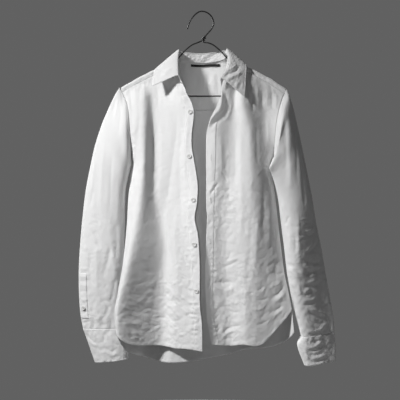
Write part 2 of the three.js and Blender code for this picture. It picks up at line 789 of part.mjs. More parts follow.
// A sleeve: near its top the rings bend into the armhole seam.
const ARMHOLE_REACH = 0.3;
const ARMHOLE_GAP = 0.8; // the sleeve starts this far outside the body's edge line
const UNDERARM_GAP = 2; // and this far where it turns forward under the arm
function sleeve(rows, side, underarm) {
  const tube = tubeOf(rows);
  const x = through(side, "drop", "x");
  const depth = {
    front: through(side, "drop", "front"),
    back: through(side, "drop", "back"),
  };
  const outer = side[0].x < 0 ? -1 : 1;
  return (turn, v) => {
    const angle = 2 * Math.PI * turn;
    const share = (1 - Math.cos(angle)) / 2;
    const drop = mix(rows[0].od, underarm, share);
    const edge = Math.sin(angle) > 0 ? depth.front(drop) : depth.back(drop);
    const gap = mix(ARMHOLE_GAP, UNDERARM_GAP, smooth((share - 0.7) / 0.3));
    const seam = point(x(drop) + gap * outer, edge, drop);
    const fade = (1 - smooth(v / ARMHOLE_REACH)) ** 2;
    const ring = tube(turn, v);
    const base = tube(turn, 0);
    return ring.addScaledVector(seam.sub(base), fade);
  };
}

const rightSleeve = sleeve(RIGHT_SLEEVE, RIGHT_SIDE, UNDERARM.right);
const leftSleeve = sleeve(LEFT_SLEEVE, LEFT_SIDE, UNDERARM.left);

// A cuff is a band whose end laps over its start: round once and a little more.
const LAP = 0.07;
function cuff(rows, from) {
  const tube = tubeOf(rows);
  const sign = rows[0].ox < 0 ? 1 : -1;
  return (u, v) => {
    const turn = u * (1 + LAP);
    const around = ((from + turn) % 1 + 1) % 1;
    const inside = (t, edge) => Math.min(1 - edge, Math.max(edge, t));
    const outward = normalAt(tube, inside(around, 0.001), inside(v, 0.01));
    const lift = (INTERLINED + 0.5) * smooth((turn - 0.6) / 0.36);
    return tube(around, v).addScaledVector(outward, sign * lift);
  };
}

// ---- Collar --------------------------------------------------------------------

// Stations from the right front end round the back of the neck to the left one:
// seam on the neckline, roll at the stand's top, leaf at the collar's outer edge.
// Where no sy and sd are given, the seam follows the yoke's neckline.
const COLLAR = [
  { s: 0, sx: -36.5, sy: -44, sd: 199, rx: -55, ry: -46, rd: 163, lx: -117, ly: -52, ld: 186 },
  { s: 0.14, sx: -49, sy: -28, sd: 160, rx: -57, ry: -32, rd: 137, lx: -116, ly: -34, ld: 162 },
  { s: 0.27, sx: -60, sy: -6, sd: 106, rx: -56, ry: -10, rd: 97, lx: -111, ly: -9, ld: 138 },
  { s: 0.38, sx: -47, rx: -50, ry: 20, rd: 95, lx: -84, ly: 36, ld: 134 },
  { s: 0.5, sx: 2, rx: 2, ry: 33, rd: 97, lx: 2, ly: 48, ld: 142 },
  { s: 0.62, sx: 50, rx: 54, ry: 20, rd: 92, lx: 86, ly: 36, ld: 130 },
  { s: 0.73, sx: 62, sy: -6, sd: 106, rx: 60, ry: -10, rd: 95, lx: 106, ly: -10, ld: 127 },
  { s: 0.86, sx: 55, sy: -30, sd: 148, rx: 63, ry: -34, rd: 134, lx: 106, ly: -38, ld: 164 },
  { s: 1, sx: 45.5, sy: -48, sd: 187, rx: 43, ry: -54, rd: 169, lx: 102, ly: -56, ld: 203 },
];
for (const row of COLLAR) {
  if (row.sy !== undefined) continue;
  const neckline = onBend(row.sx, yokeStart(row.sx));
  row.sy = neckline.y - 1;
  row.sd = -neckline.z - 1.6;
}
const collarAt = Object.fromEntries(
  Object.keys(COLLAR[0])
    .filter((key) => key !== "s")
    .map((key) => [key, through(COLLAR, "s", key)]),
);
const collarPoint = (row, s) =>
  point(collarAt[row + "x"](s), collarAt[row + "y"](s), collarAt[row + "d"](s));

function collarStand(s, v) {
  const seam = collarPoint("s", s);
  const roll = collarPoint("r", s);
  return seam.lerp(roll, mix(0.04, 1, v));
}

// The leaf leaves the stand's top, rounds the roll and falls to its outer edge.
const ROLL_RISE = 6;
const LEAF_OFF_YOKE = SHIRTING / 2 + LAID_GAP + INTERLINED / 2 + 1.9;
function collarLeaf(s, v) {
  const seam = collarPoint("s", s);
  const roll = collarPoint("r", s);
  const edge = collarPoint("l", s);
  const rise = roll.clone().sub(seam).normalize();
  const outward = edge.clone().sub(roll).setZ(0).normalize();
  const start = roll.clone().addScaledVector(rise, INTERLINED / 2 + 0.9);
  const first = start.clone().addScaledVector(rise, ROLL_RISE);
  const second = start.clone().lerp(edge, 0.3).addScaledVector(outward, 5);
  const curve = new THREE.CubicBezierCurve3(start, first, second, edge);
  return clearOfYoke(curve.getPoint(v), LEAF_OFF_YOKE);
}

// ---- Materials ---------------------------------------------------------------------

const cotton = new THREE.MeshStandardMaterial({ color: 0xe9e9e7, roughness: 0.9, metalness: 0 });
const pearl = new THREE.MeshStandardMaterial({ color: 0xe6e4de, roughness: 0.3, metalness: 0 });
const wovenBlack = new THREE.MeshStandardMaterial({ color: 0x0c0c0d, roughness: 0.8, metalness: 0 });
const coatedWire = new THREE.MeshStandardMaterial({ color: 0x111112, roughness: 0.4, metalness: 0 });

// ---- The object ----------------------------------------------------------------------

const shirt = new THREE.Group();
function add(name, geometry, material) {
  const mesh = new THREE.Mesh(geometry, material);
  mesh.name = name;
  shirt.add(mesh);
  return mesh;
}

// A share of a panel's width or height that leaves the seam gap.
const ACROSS = 0.004;
const DOWN = 0.0006;
const ROWS = 29; // rows of the fronts' grids
const LIFT = SHIRTING / 2 + LAID_GAP + STRIP / 2;
const ON_STRIP = SHIRTING / 2 + LAID_GAP + STRIP + LAID_GAP + BUTTON.thickness / 2;
const rightFrontCut = within(rightFront, 0, 1 - ACROSS, DOWN, 1);
const leftFrontCut = within(leftFront, 1 - ACROSS, 0, DOWN, 1);

function addBody() {
  add("right_front", wall(rightFrontCut, SHIRTING, 14, ROWS), cotton);
  add("left_front", wall(leftFrontCut, SHIRTING, 15, ROWS), cotton);
  add("back", wall(within(back, ACROSS, 1 - ACROSS, DOWN, 1), SHIRTING, 22, 22), cotton);
  add("yoke", wall(yoke, SHIRTING, 40, YOKE_ROWS), cotton);
}

function addSleeves() {
  add("right_sleeve", wall(rightSleeve, SHIRTING, 20, 26, { tube: true }), cotton);
  add("left_sleeve", wall(leftSleeve, SHIRTING, 20, 26, { tube: true }), cotton);
  add("right_cuff", wall(cuff(RIGHT_CUFF, 0.86), INTERLINED, 26, 4), cotton);
  add("left_cuff", wall(cuff(LEFT_CUFF, 0.86), INTERLINED, 26, 4), cotton);
}

function addCollar() {
  add("collar_stand", wall(collarStand, INTERLINED, 30, 3), cotton);
  add("collar_leaf", wall(collarLeaf, INTERLINED, 30, 6), cotton);
}

// Strips laid on the fronts' edges, on the fronts' own grids.
function addLaidPieces() {
  const rightStrip = { lift: LIFT, window: { c0: 0, c1: 2, r0: 4, r1: ROWS } };
  const leftStrip = { lift: LIFT, window: { c0: 13, c1: 15, r0: 4, r1: ROWS } };
  const sleeveStrip = { lift: -LIFT, window: { c0: 1, c1: 3, r0: 21, r1: 25 } };
  add("right_sleeve_placket", wall(rightSleeve, STRIP, 20, 26, sleeveStrip), cotton);
  add("button_placket", wall(rightFrontCut, STRIP, 14, ROWS, rightStrip), cotton);
  add("buttonhole_placket", wall(leftFrontCut, STRIP, 15, ROWS, leftStrip), cotton);
}

// A point on a surface moved out by lift, and the direction it moved in.
function raised(surface, u, v, lift) {
  const out = normalAt(surface, u, v).multiplyScalar(Math.sign(lift));
  return { out, at: surface(u, v).addScaledVector(out, Math.abs(lift)) };
}

// The v at which a surface's column u comes to a drop.
function atDrop(surface, u, drop) {
  const [top, hem] = [-surface(u, 0).z, -surface(u, 1).z];
  return (drop - top) / (hem - top);
}

function addButton(name, { at, out }) {
  const disc = new THREE.CylinderGeometry(BUTTON.radius, BUTTON.radius, BUTTON.thickness, BUTTON.sides);
  disc.applyQuaternion(new THREE.Quaternion().setFromUnitVectors(new THREE.Vector3(0, 1, 0), out));
  disc.translate(at.x, at.y, at.z);
  add(name, disc, pearl);
}

const BUTTON_DROPS = [247, 353, 455, 560, 668];
const SLEEVE_BUTTON_DROP = 715;
function addButtons() {
  const middle = 1 / 14;
  BUTTON_DROPS.forEach((drop, i) => {
    const v = atDrop(rightFrontCut, middle, drop);
    addButton("button_" + (i + 1), raised(rightFrontCut, middle, v, ON_STRIP));
  });
  const onStand = INTERLINED / 2 + 2 * LAID_GAP + BUTTON.thickness / 2;
  addButton("stand_button", raised(collarStand, 0.045, 0.4, -onStand));
  const v = atDrop(rightSleeve, 0.1, SLEEVE_BUTTON_DROP);
  addButton("sleeve_button", raised(rightSleeve, 0.1, v, -ON_STRIP));
}

const LABEL = { x0: -27, x1: 44, top: 122, height: 6, thickness: 0.6 };
function addLabel() {
  const inFront = SHIRTING / 2 + LAID_GAP + LABEL.thickness / 2 + 1;
  const surface = (u, v) => {
    const x = mix(LABEL.x0, LABEL.x1, u);
    return point(x, bendAt(x).off - inFront, LABEL.top + LABEL.height * v);
  };
  add("neck_label", wall(surface, LABEL.thickness, 10, 1), wovenBlack);
}

// One wire: the hook, the stem, the right arm, the bar and the left arm, whose
// end is wound round the stem.
async function addHanger() {
  const wasm = await Module();
  wasm.setup();
  const arm = ARM.map(({ reach, drop }) => ({ reach, drop })).filter((row) => row.reach > 5);
  const side = (rows, sign) => rows.map((row) => point(NECK.x + sign * row.reach, 0, row.drop));
  const stem = HOOK.map((row) => point(row.x, 0, row.drop));
  const neck = point(4.5, 0, 73);
  const right = [...side(arm, 1), ...side(ARM_END, 1)];
  const left = [...side(arm, -1), ...side(ARM_END, -1)].reverse();
  const line = new THREE.CatmullRomCurve3([...stem, neck, ...right, ...left], false, "centripetal");
  const along = bar(line.getPoints(84), WIRE_RADIUS, WIRE_SIDES);
  const { turns, top, bottom } = COIL;
  const coil = [];
  for (let i = 0; i <= 22; i++) {
    const angle = Math.PI + (2 * Math.PI * turns * i) / 22;
    const t = i / 22;
    const out = 2 * WIRE_RADIUS - 0.25;
    const centre = point(mix(bottom.x, top.x, t), 0, mix(bottom.drop, top.drop, t));
    coil.push(centre.add(new THREE.Vector3(out * Math.cos(angle), out * Math.sin(angle), 0)));
  }
  const end = point(NECK.x - ARM[1].reach, 0, ARM[1].drop);
  const wound = bar([end, ...coil], WIRE_RADIUS, 6);
  const solid = (g) =>
    new wasm.Manifold(
      new wasm.Mesh({
        numProp: 3,
        vertProperties: g.getAttribute("position").array,
        triVerts: new Uint32Array(g.getIndex().array),
      }),
    );
  const joined = solid(along).add(solid(wound)).getMesh();
  const geometry = new THREE.BufferGeometry();
  geometry.setAttribute("position", new THREE.BufferAttribute(joined.vertProperties, 3));
  geometry.setIndex(new THREE.BufferAttribute(joined.triVerts, 1));
  geometry.computeVertexNormals();
  add("hanger", geometry, coatedWire);
}

addBody();
addSleeves();
addCollar();
addLaidPieces();
addButtons();
addLabel();
await addHanger();

export default shirt;
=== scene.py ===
# %% [markdown]
# # A crumpled shirt on a wire hanger
#
# A thin cotton shirt with long sleeves hangs open at the front. Every piece that a maker
# would cut is a mesh of its own here: two fronts, a back, a yoke, sleeves, cuffs, a collar
# in two parts, and the strips that carry the buttons and the buttonholes. Each is worked
# out with numpy as a surface of two parameters and then given the thickness of its cloth.
#
# All sizes below are millimetres. Heights are written as a drop: how far a point lies
# below the seat of the hanger's hook, which is the origin. +X is to the right of
# somebody who faces the shirt, and the front faces -Y. Right and left in the names are
# the wearer's, so the right front is the one at -X.

# %% Load the fixed frame
import math

import bpy
import numpy as np
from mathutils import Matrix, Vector


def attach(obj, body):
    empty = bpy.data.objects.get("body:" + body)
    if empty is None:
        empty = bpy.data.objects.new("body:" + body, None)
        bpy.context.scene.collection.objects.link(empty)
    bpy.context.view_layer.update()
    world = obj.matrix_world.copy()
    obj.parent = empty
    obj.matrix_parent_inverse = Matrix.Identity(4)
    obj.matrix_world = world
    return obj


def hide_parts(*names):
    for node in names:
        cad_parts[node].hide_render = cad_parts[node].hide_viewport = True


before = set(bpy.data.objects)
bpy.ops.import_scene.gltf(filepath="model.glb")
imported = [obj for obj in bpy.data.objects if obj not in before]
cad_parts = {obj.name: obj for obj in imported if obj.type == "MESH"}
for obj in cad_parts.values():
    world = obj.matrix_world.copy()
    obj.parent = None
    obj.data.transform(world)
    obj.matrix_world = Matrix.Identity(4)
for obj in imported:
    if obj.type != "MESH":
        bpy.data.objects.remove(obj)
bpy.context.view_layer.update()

# %% [markdown]
# ## Curves through a few known places
#
# A curve through a few known places is the basic tool of the lesson. Blender has curve
# objects for that, but a surface needs thousands of places at once, so the curve is
# a numpy function here: it takes an array of positions and gives an array of values.
# Cubic pieces were chosen because they pass through every place of the table and never
# turn a corner there, as cloth does not.

# %% Curves through tables
MM = 0.001


def mix(a, b, share):
    """The value a share of the way from a to b."""
    return a + (b - a) * share


def smooth(t):
    """Rises from 0 to 1 with level ends: 3 t squared less 2 t cubed, held outside 0..1."""
    t = np.clip(t, 0, 1)
    return t * t * (3 - 2 * t)


def table(columns, *rows):
    """Named columns of a short table, each as an array."""
    return dict(zip(columns.split(), np.array(rows, float).T))


def through(knots, values, t):
    """Cubic pieces through (knot, value), with each knot's slope that of the chord between
    its neighbours. The values may differ from point to point: then they are a stack."""
    knots, values, t = np.asarray(knots, float), np.asarray(values, float), np.asarray(t, float)
    spread = (-1,) + (1,) * t.ndim
    if values.ndim == 1:
        values = values.reshape(spread)
    values = np.broadcast_to(values, (len(knots),) + t.shape)
    order = np.arange(len(knots))
    after, before = np.minimum(order + 1, len(knots) - 1), np.maximum(order - 1, 0)
    slope = (values[after] - values[before]) / (knots[after] - knots[before]).reshape(spread)
    held = np.clip(t, knots[0], knots[-1])
    k = np.clip(np.searchsorted(knots, held, side="right") - 1, 0, len(knots) - 2)

    def pick(stack, which):
        return np.take_along_axis(stack, which[None], 0)[0]

    run = knots[k + 1] - knots[k]
    s = (held - knots[k]) / run
    bend = run * s * (1 - s) * (pick(slope, k) * (1 - s) - pick(slope, k + 1) * s)
    return mix(pick(values, k), pick(values, k + 1), s * s * (3 - 2 * s)) + bend


def curve(rows, at, out):
    """A table's column as a function of another of its columns."""
    return lambda t: through(rows[at], rows[out], t)


def points(x, y, drop):
    """Places in the frame from their x, y and drop."""
    x, y, drop = np.broadcast_arrays(x, y, drop)
    return np.stack([x, y, -drop], axis=-1)


def unit(directions):
    """Each direction divided by its length."""
    return directions / np.maximum(np.linalg.norm(directions, axis=-1, keepdims=True), 1e-9)


def normals(grid, wraps=False):
    """The direction straight out of a grid at each point: its step across crossed with its
    step down. A grid that wraps closes on itself across."""
    if wraps:
        across = np.roll(grid, -1, axis=1) - np.roll(grid, 1, axis=1)
    else:
        across = np.gradient(grid, axis=1)
    return unit(np.cross(across, np.gradient(grid, axis=0)))


# %% [markdown]
# ## The hanger's line
#
# The shoulders follow the hanger, so its line comes first. The same tables later make the
# wire itself. The ridge is the line along which the yoke lies on the wire: it stands off
# by the wire's radius and a little slack, and runs level behind the neck, where the wire
# dips and the cloth does not.

# %% The wire and the ridge over it
NECK_X = 1.5              # the middle of the neck and of the hanger
NECK_HALF_WIDTH = 60
NECK_BACK_DROP = 107      # the level ridge behind the neck
NECK_SIDE = 66            # the reach at which the ridge meets the wire
NECK_TENT = 4             # how far the collar holds the cloth off the wire there
WIRE_RADIUS = 1.6
WIRE_END = 186            # the reach of the arm where its end begins to turn in
RIDGE_ABOVE_WIRE = 3.4    # the wire's radius, half the cloth and a little air
LEFT_SLACK = 3            # how much looser the left shoulder lies
PAST_END_SLOPE = 0.58
SHOULDER_SEAM_FALL = 14

ARM = table(
    "reach drop",
    (0, 73), (14, 75), (26, 80), (42, 93), (53, 105), (62, 115), (70, 120), (110, 140), (150, 160),
    (186, 179.8),
)
ARM_END = table(
    "reach drop",
    (193, 184), (197.5, 188.5), (199, 194), (196.5, 200), (190, 203),
)
HOOK = table(
    "x drop",
    (-35, 40), (-31, 27), (-22, 12), (-10, 1.2), (0, -1.6), (12, 1.4), (23, 11), (28.5, 27),
    (23, 41), (12, 54), (6, 61), (2.5, 68),
)
arm_drop = curve(ARM, "reach", "drop")


def ridge_drop(x):
    """The ridge's drop at x: the wire's drop less the stand-off, and level behind the neck."""
    reach = np.abs(x - NECK_X)
    slack = smooth((reach - NECK_HALF_WIDTH) / 40) * (1 - smooth((reach - 165) / 25)) * (x > 0)
    tent = NECK_TENT * (1 - smooth((reach - NECK_SIDE) / 25))
    on_wire = arm_drop(np.maximum(reach, NECK_SIDE)) - (RIDGE_ABOVE_WIRE + tent + LEFT_SLACK * slack)
    past_end = np.maximum(0, reach - WIRE_END) * PAST_END_SLOPE
    return mix(NECK_BACK_DROP, on_wire + past_end, smooth((reach - 30) / 30))


print("ridge at the right tip, neck and left tip:", ridge_drop(np.array([-195.0, 0, 200.0])))

# %% [markdown]
# ## Seams and folds of the body
#
# A hanging front could be simulated, but the folds of this shirt are known one by one, so
# they are drawn instead. Each fold line is a ridge or a valley that falls from the
# shoulder to the hem. Its table gives x and depth at some drops, and its share u says how
# far round the panel it lies. A smooth curve through the lines at one drop is the panel's
# section there. Side seams and hems have tables of their own, shared by the neighbours.

# %% Side seams and hems
RIGHT_SIDE = table(
    "drop x front back",
    (180, -201, -6, 6), (203, -189, -9, 11), (232, -178, -21, 19), (270, -173, -28, 23),
    (310, -171, -25, 19), (345, -169, -16, 8), (368, -168, -8, -8), (404, -173, -9, -9),
    (457, -178, -11, -11), (520, -181, -16, -16), (607, -189, -28, -28), (675, -200, -38, -38),
    (724, -207, -43, -43), (790, -202, -40, -40),
)
LEFT_SIDE = table(
    "drop x front back",
    (180, 208, -6, 6), (205, 196, -9, 11), (235, 185, -21, 19), (275, 177, -28, 23),
    (312, 174, -24, 18), (343, 172, -13, 7), (364, 170, -7, -7), (400, 169, -4, -4),
    (430, 174, -5, -5), (470, 179, -8, -8), (545, 187, -14, -14), (627, 197, -21, -21),
    (680, 208, -27, -27), (720, 215, -30, -30), (790, 222, -28, -28),
)
RIGHT_FRONT_HEM = table(
    "x drop",
    (-208, 758), (-196, 780), (-168, 799), (-126, 804), (-66, 809), (-34, 808), (2, 812),
)
LEFT_FRONT_HEM = table(
    "x drop",
    (20, 798), (65, 803), (97, 798), (128, 801), (146, 795), (180, 760), (210, 724), (216, 712),
)
BACK_HEM = table(
    "x drop",
    (-208, 757), (-197, 790), (-183, 818), (-137, 836), (-90, 849), (-24, 846), (39, 833),
    (80, 828), (131, 817), (187, 805), (210, 787), (226, 758), (232, 738),
)

# %% Fold lines
SIDE_LAP = 0.3  # the front lies this far before the side seam and the back this far behind it


def fold(name, u, *rows):
    """A ridge or valley line: its share of the way round, and its x and y at some drops."""
    return {"name": name, "u": u, **table("drop x y", *rows)}


def side_fold(name, u, seam, layer):
    """The panel's edge on a side seam, in the front or the back layer."""
    lap = -SIDE_LAP if layer == "front" else SIDE_LAP
    return {"name": name, "u": u, "drop": seam["drop"], "x": seam["x"], "y": seam[layer] + lap}


RIGHT_FRONT_FOLDS = [
    fold("edge", 0,
         (113, -62, -7), (150, -53, -23), (180, -44, -35), (203, -36, -43), (226, -24, -48),
         (250, -19, -52), (300, -24, -54), (330, -24, -55), (365, -18, -56), (421, -10, -58),
         (465, -12, -60), (498, -17, -60), (540, -9, -62), (620, -5, -62), (700, -5, -62),
         (750, 0, -60), (815, 1, -57)),
    fold("placket seam", 0.15,
         (128, -69, -8), (180, -64, -32), (215, -48, -43), (250, -39, -49), (330, -43, -51),
         (421, -31, -54), (498, -36, -55), (620, -25, -58), (750, -20, -55), (815, -20, -51)),
    fold("chest rise", 0.38,
         (138, -88, -8), (186, -86, -20), (230, -78, -35), (283, -72, -40), (380, -76, -38),
         (457, -80, -36), (545, -72, -42), (620, -64, -44), (720, -62, -36), (815, -62, -30)),
    fold("long valley", 0.62,
         (156, -121, -8), (203, -118, -18), (283, -114, -22), (400, -114, -25), (457, -112, -26),
         (560, -94, -20), (640, -99, -12), (720, -102, -7), (815, -104, -6)),
    fold("side ridge", 0.82,
         (176, -156, -8), (208, -143, -26), (283, -138, -39), (400, -142, -43), (457, -147, -45),
         (560, -161, -50), (640, -177, -55), (720, -191, -57), (815, -186, -50)),
    side_fold("side", 1, RIGHT_SIDE, "front"),
]
LEFT_FRONT_FOLDS = [
    fold("edge", 0,
         (113, 65, -7), (145, 60, -22), (172, 52, -34), (192, 47, -42), (211, 44, -47),
         (236, 33, -52), (261, 20, -54), (281, 14, -53), (305, 10, -51), (400, 10, -49),
         (470, 10, -48), (496, 12, -48), (560, 9, -47), (651, 7, -45), (720, 10, -44),
         (765, 15, -42), (803, 23, -40)),
    fold("lapel hollow", 0.13,
         (131, 78, -8), (172, 68, -31), (211, 61, -40), (236, 53, -44), (261, 41, -47),
         (283, 35, -50), (341, 34, -50), (457, 30, -46), (600, 28, -42), (720, 28, -38),
         (803, 42, -34)),
    fold("front valley", 0.33,
         (137, 92, -8), (172, 84, -24), (211, 78, -31), (256, 75, -36), (283, 73, -37),
         (341, 70, -38), (399, 66, -38), (457, 62, -39), (545, 59, -37), (660, 62, -33),
         (803, 68, -28)),
    fold("front ridge", 0.56,
         (146, 112, -8), (172, 98, -28), (211, 97, -42), (256, 106, -47), (283, 112, -48),
         (341, 116, -50), (457, 119, -52), (545, 119, -52), (660, 113, -49), (760, 110, -47),
         (803, 109, -46)),
    fold("underarm valley", 0.8,
         (167, 152, -8), (206, 148, -15), (254, 150, -22), (312, 152, -28), (370, 155, -28),
         (430, 158, -31), (500, 161, -35), (560, 164, -36), (660, 174, -36), (760, 180, -34)),
    side_fold("side", 1, LEFT_SIDE, "front"),
]
BACK_FOLDS = [
    side_fold("right side", 0, RIGHT_SIDE, "back"),
    fold("right blade", 0.1,
         (230, -146, 24), (330, -144, 14), (457, -152, 12), (600, -164, 4), (720, -182, -18),
         (800, -179, -9), (850, -176, -4)),
    fold("right hollow", 0.23,
         (230, -105, 29), (330, -106, 34), (457, -110, 36), (600, -114, 36), (720, -118, 32),
         (800, -116, 17), (850, -114, 9)),
    fold("right flute", 0.35,
         (230, -62, 31), (330, -62, 20), (457, -64, 12), (600, -66, 8), (720, -68, 4),
         (850, -70, 2)),
    fold("middle hollow", 0.47,
         (230, -18, 33), (330, -16, 38), (457, -16, 40), (600, -14, 40), (720, -14, 34),
         (800, -16, 16), (850, -18, 4)),
    fold("middle flute", 0.59,
         (230, 27, 32), (330, 28, 20), (457, 30, 13), (600, 34, 9), (720, 40, 4), (840, 44, 2)),
    fold("left hollow", 0.71,
         (230, 72, 31), (330, 74, 36), (457, 78, 38), (600, 86, 38), (720, 96, 36), (840, 100, 33)),
    fold("left flute", 0.83,
         (230, 116, 27), (330, 117, 17), (457, 122, 13), (600, 132, 10), (720, 148, 6),
         (830, 156, 6)),
    fold("left blade", 0.93,
         (230, 154, 24), (330, 150, 18), (457, 156, 18), (600, 170, 12), (720, 192, 2),
         (830, 196, 4)),
    side_fold("left side", 1, LEFT_SIDE, "back"),
]
for folds in (RIGHT_FRONT_FOLDS, LEFT_FRONT_FOLDS, BACK_FOLDS):
    print("fold lines:", [line["name"] for line in folds])

# %% Panels from fold lines
YOKE_SEAM_DROP = 234


def section(folds, u, drop):
    """x and y at share u and a drop: the fold lines at that drop, joined by a curve over u."""
    shares = [line["u"] for line in folds]
    x = np.stack([through(line["drop"], line["x"], drop) for line in folds])
    y = np.stack([through(line["drop"], line["y"], drop) for line in folds])
    return through(shares, x, u), through(shares, y, u)


def meeting(folds, u, edge, first_guess):
    """The drop at which the panel's column u crosses an edge line, found by halving the gap."""
    drop = np.full_like(u, first_guess)
    for _ in range(40):
        drop = mix(drop, edge(section(folds, u, drop)[0]), 0.5)
    return drop


def panel(folds, u, v, top, hem):
    """Points of a panel: columns are the shares u, rows run evenly from its top to its hem."""
    highest = meeting(folds, u, top, 170.0)
    lowest = meeting(folds, u, hem, 800.0)
    drop = mix(highest[None, :], lowest[None, :], v[:, None])
    x, y = section(folds, np.broadcast_to(u, drop.shape), drop)
    return points(x, y, drop)


# %% [markdown]
# ## The yoke's bend
#
# The yoke is the doubled piece over the shoulders. It leaves the front seam, rounds the
# wire and falls to the back seam. Seen from the side that is a quarter of an oval in
# front, which stays close to the wire, and a wider quarter behind, because the back of
# the neck is cut for a neck. The bend's size is a function of x, so the one formula
# gives the tight shoulder tips and the deep oval behind the collar.

# %% The yoke as a bend over the ridge
NECK_DEPTH = 33                         # how far back the neck is cut
FRONT_LEG = 6                           # how far the yoke stands off in front of the wire
OFF_AT_NECK, OFF_AT_TIP = 26, 7         # how far it stands off behind
HIGH_AT_NECK, HIGH_AT_TIP = 18, 6       # how high the bend is
NECK_BULGE = 8                          # what the neck adds behind
YOKE_FRONT, YOKE_BEND = 1 / 12, 7 / 12  # the shares of its rows at which leg and bend end
YOKE_END = 0.999                        # it stops this share of its way to the back's top
FULL_OVAL = 0.9995                      # just below 1, so that the bend's rows never meet


def bend_at(x):
    """How far the back of the bend stands off the ridge at x, and how high the bend is."""
    reach = np.abs(x - NECK_X)
    bulge = NECK_BULGE * (1 - smooth(reach / NECK_HALF_WIDTH))
    off = mix(OFF_AT_NECK, OFF_AT_TIP, smooth(reach / 175)) + bulge
    return off, mix(HIGH_AT_NECK, HIGH_AT_TIP, smooth(reach / 110))


def yoke_start(x):
    """The angle at which the yoke starts: on the neck's oval, or level with the front seam."""
    reach = np.abs(x - NECK_X) / NECK_HALF_WIDTH
    oval = NECK_DEPTH * np.sqrt(np.clip(1 - reach**2, 0, 1)) / bend_at(x)[0]
    past_neck = -np.pi / 2 * smooth((reach - 1) / 0.33)
    return np.where(reach < 1, np.arcsin(np.clip(oval, 0, FULL_OVAL)), past_neck)


def on_bend(x, angle):
    """A point of the bend: y is the sine of the angle times its reach, the fall is 1 - cosine."""
    off, high = bend_at(x)
    y = np.where(angle < 0, FRONT_LEG, off) * np.sin(angle)
    return points(x, y, ridge_drop(x) + high * (1 - np.cos(angle)))


def front_leg(x):
    """How far the yoke hangs straight down in front, below the bend."""
    high = bend_at(x)[1]
    return 0.4 + np.maximum(1, SHOULDER_SEAM_FALL - high) * smooth((-yoke_start(x) - 1) / 0.57)


def shoulder_seam(x):
    """The drop of the seam between yoke and front: the lower end of the yoke's front leg."""
    return -on_bend(x, np.minimum(0, yoke_start(x)))[..., 2] + front_leg(x)


def yoke_x(u, drop):
    """x at a share of the yoke's width: it narrows with the armholes."""
    right, left = curve(RIGHT_SIDE, "drop", "x")(drop), curve(LEFT_SIDE, "drop", "x")(drop)
    return mix(right + 0.6, left - 0.6, u)


def yoke(u, v):
    """Front leg, then the bend, then a back leg that closes in on the back panel's top."""
    u, v = np.broadcast_arrays(u[None, :], v[:, None])
    x = yoke_x(u, 190.0)
    start = yoke_start(x)
    off, high = bend_at(x)
    leg = on_bend(x, start)
    leg[..., 2] -= front_leg(x) * (1 - np.clip(v / YOKE_FRONT, 0, 1))
    share = np.clip((v - YOKE_FRONT) / (YOKE_BEND - YOKE_FRONT), 0, 1)
    over = on_bend(x, mix(start, np.pi / 2, share))
    crown = ridge_drop(x) + high
    share = np.clip((v - YOKE_BEND) / (1 - YOKE_BEND), 0, 1) * YOKE_END
    drop = mix(crown, YOKE_SEAM_DROP, share)
    end_x, end_y = section(BACK_FOLDS, u, np.full_like(u, YOKE_SEAM_DROP))
    behind_x = mix(x - yoke_x(u, crown) + yoke_x(u, drop), end_x, smooth(share))
    behind = points(behind_x, mix(off, end_y, smooth(share)), drop)
    v = v[..., None]
    return np.where(v < YOKE_FRONT, leg, np.where(v < YOKE_BEND, over, behind))


# %% [markdown]
# ## Sleeves and cuffs
#
# A sleeve is a tube that hangs flat. Each row of its table is a ring: an outer point, an
# inner point, and how far the cloth bulges to the front and the back between them. Near
# the top the rings bend into the armhole seam, so sleeve and body share that line.

# %% Rings of the sleeves
RIGHT_SLEEVE = table(
    "ring ox od oy ix id iy front back skew peak",
    (0, -199, 184, 0, -168, 368, -8, 8, 8, 0, 1),
    (0.07, -210, 202, 0, -172, 377, -7, 19, 17, 0.25, 0.8),
    (0.15, -224, 230, 1, -176, 390, -5, 24, 22, 0.35, 0.7),
    (0.24, -242, 272, 2, -180, 406, -3, 28, 25, 0.35, 0.65),
    (0.33, -258, 320, 4, -184, 424, 0, 28, 27, 0.35, 0.65),
    (0.42, -270, 372, 5, -186, 446, 3, 28, 28, 0.35, 0.65),
    (0.52, -282, 434, 6, -187, 484, 5, 28, 28, 0.35, 0.65),
    (0.62, -290, 502, 7, -188, 524, 7, 28, 27, 0.35, 0.65),
    (0.72, -296, 570, 8, -190, 578, 8, 28, 26, 0.35, 0.65),
    (0.81, -299, 632, 9, -192, 634, 9, 27, 25, 0.3, 0.65),
    (0.9, -298, 696, 10, -194, 696, 10, 25, 24, 0.25, 0.7),
    (0.96, -294, 740, 10, -193, 738, 10, 23, 22, 0.2, 0.75),
    (1, -289, 765, 10, -191, 764, 10, 21, 20, 0.1, 0.8),
)
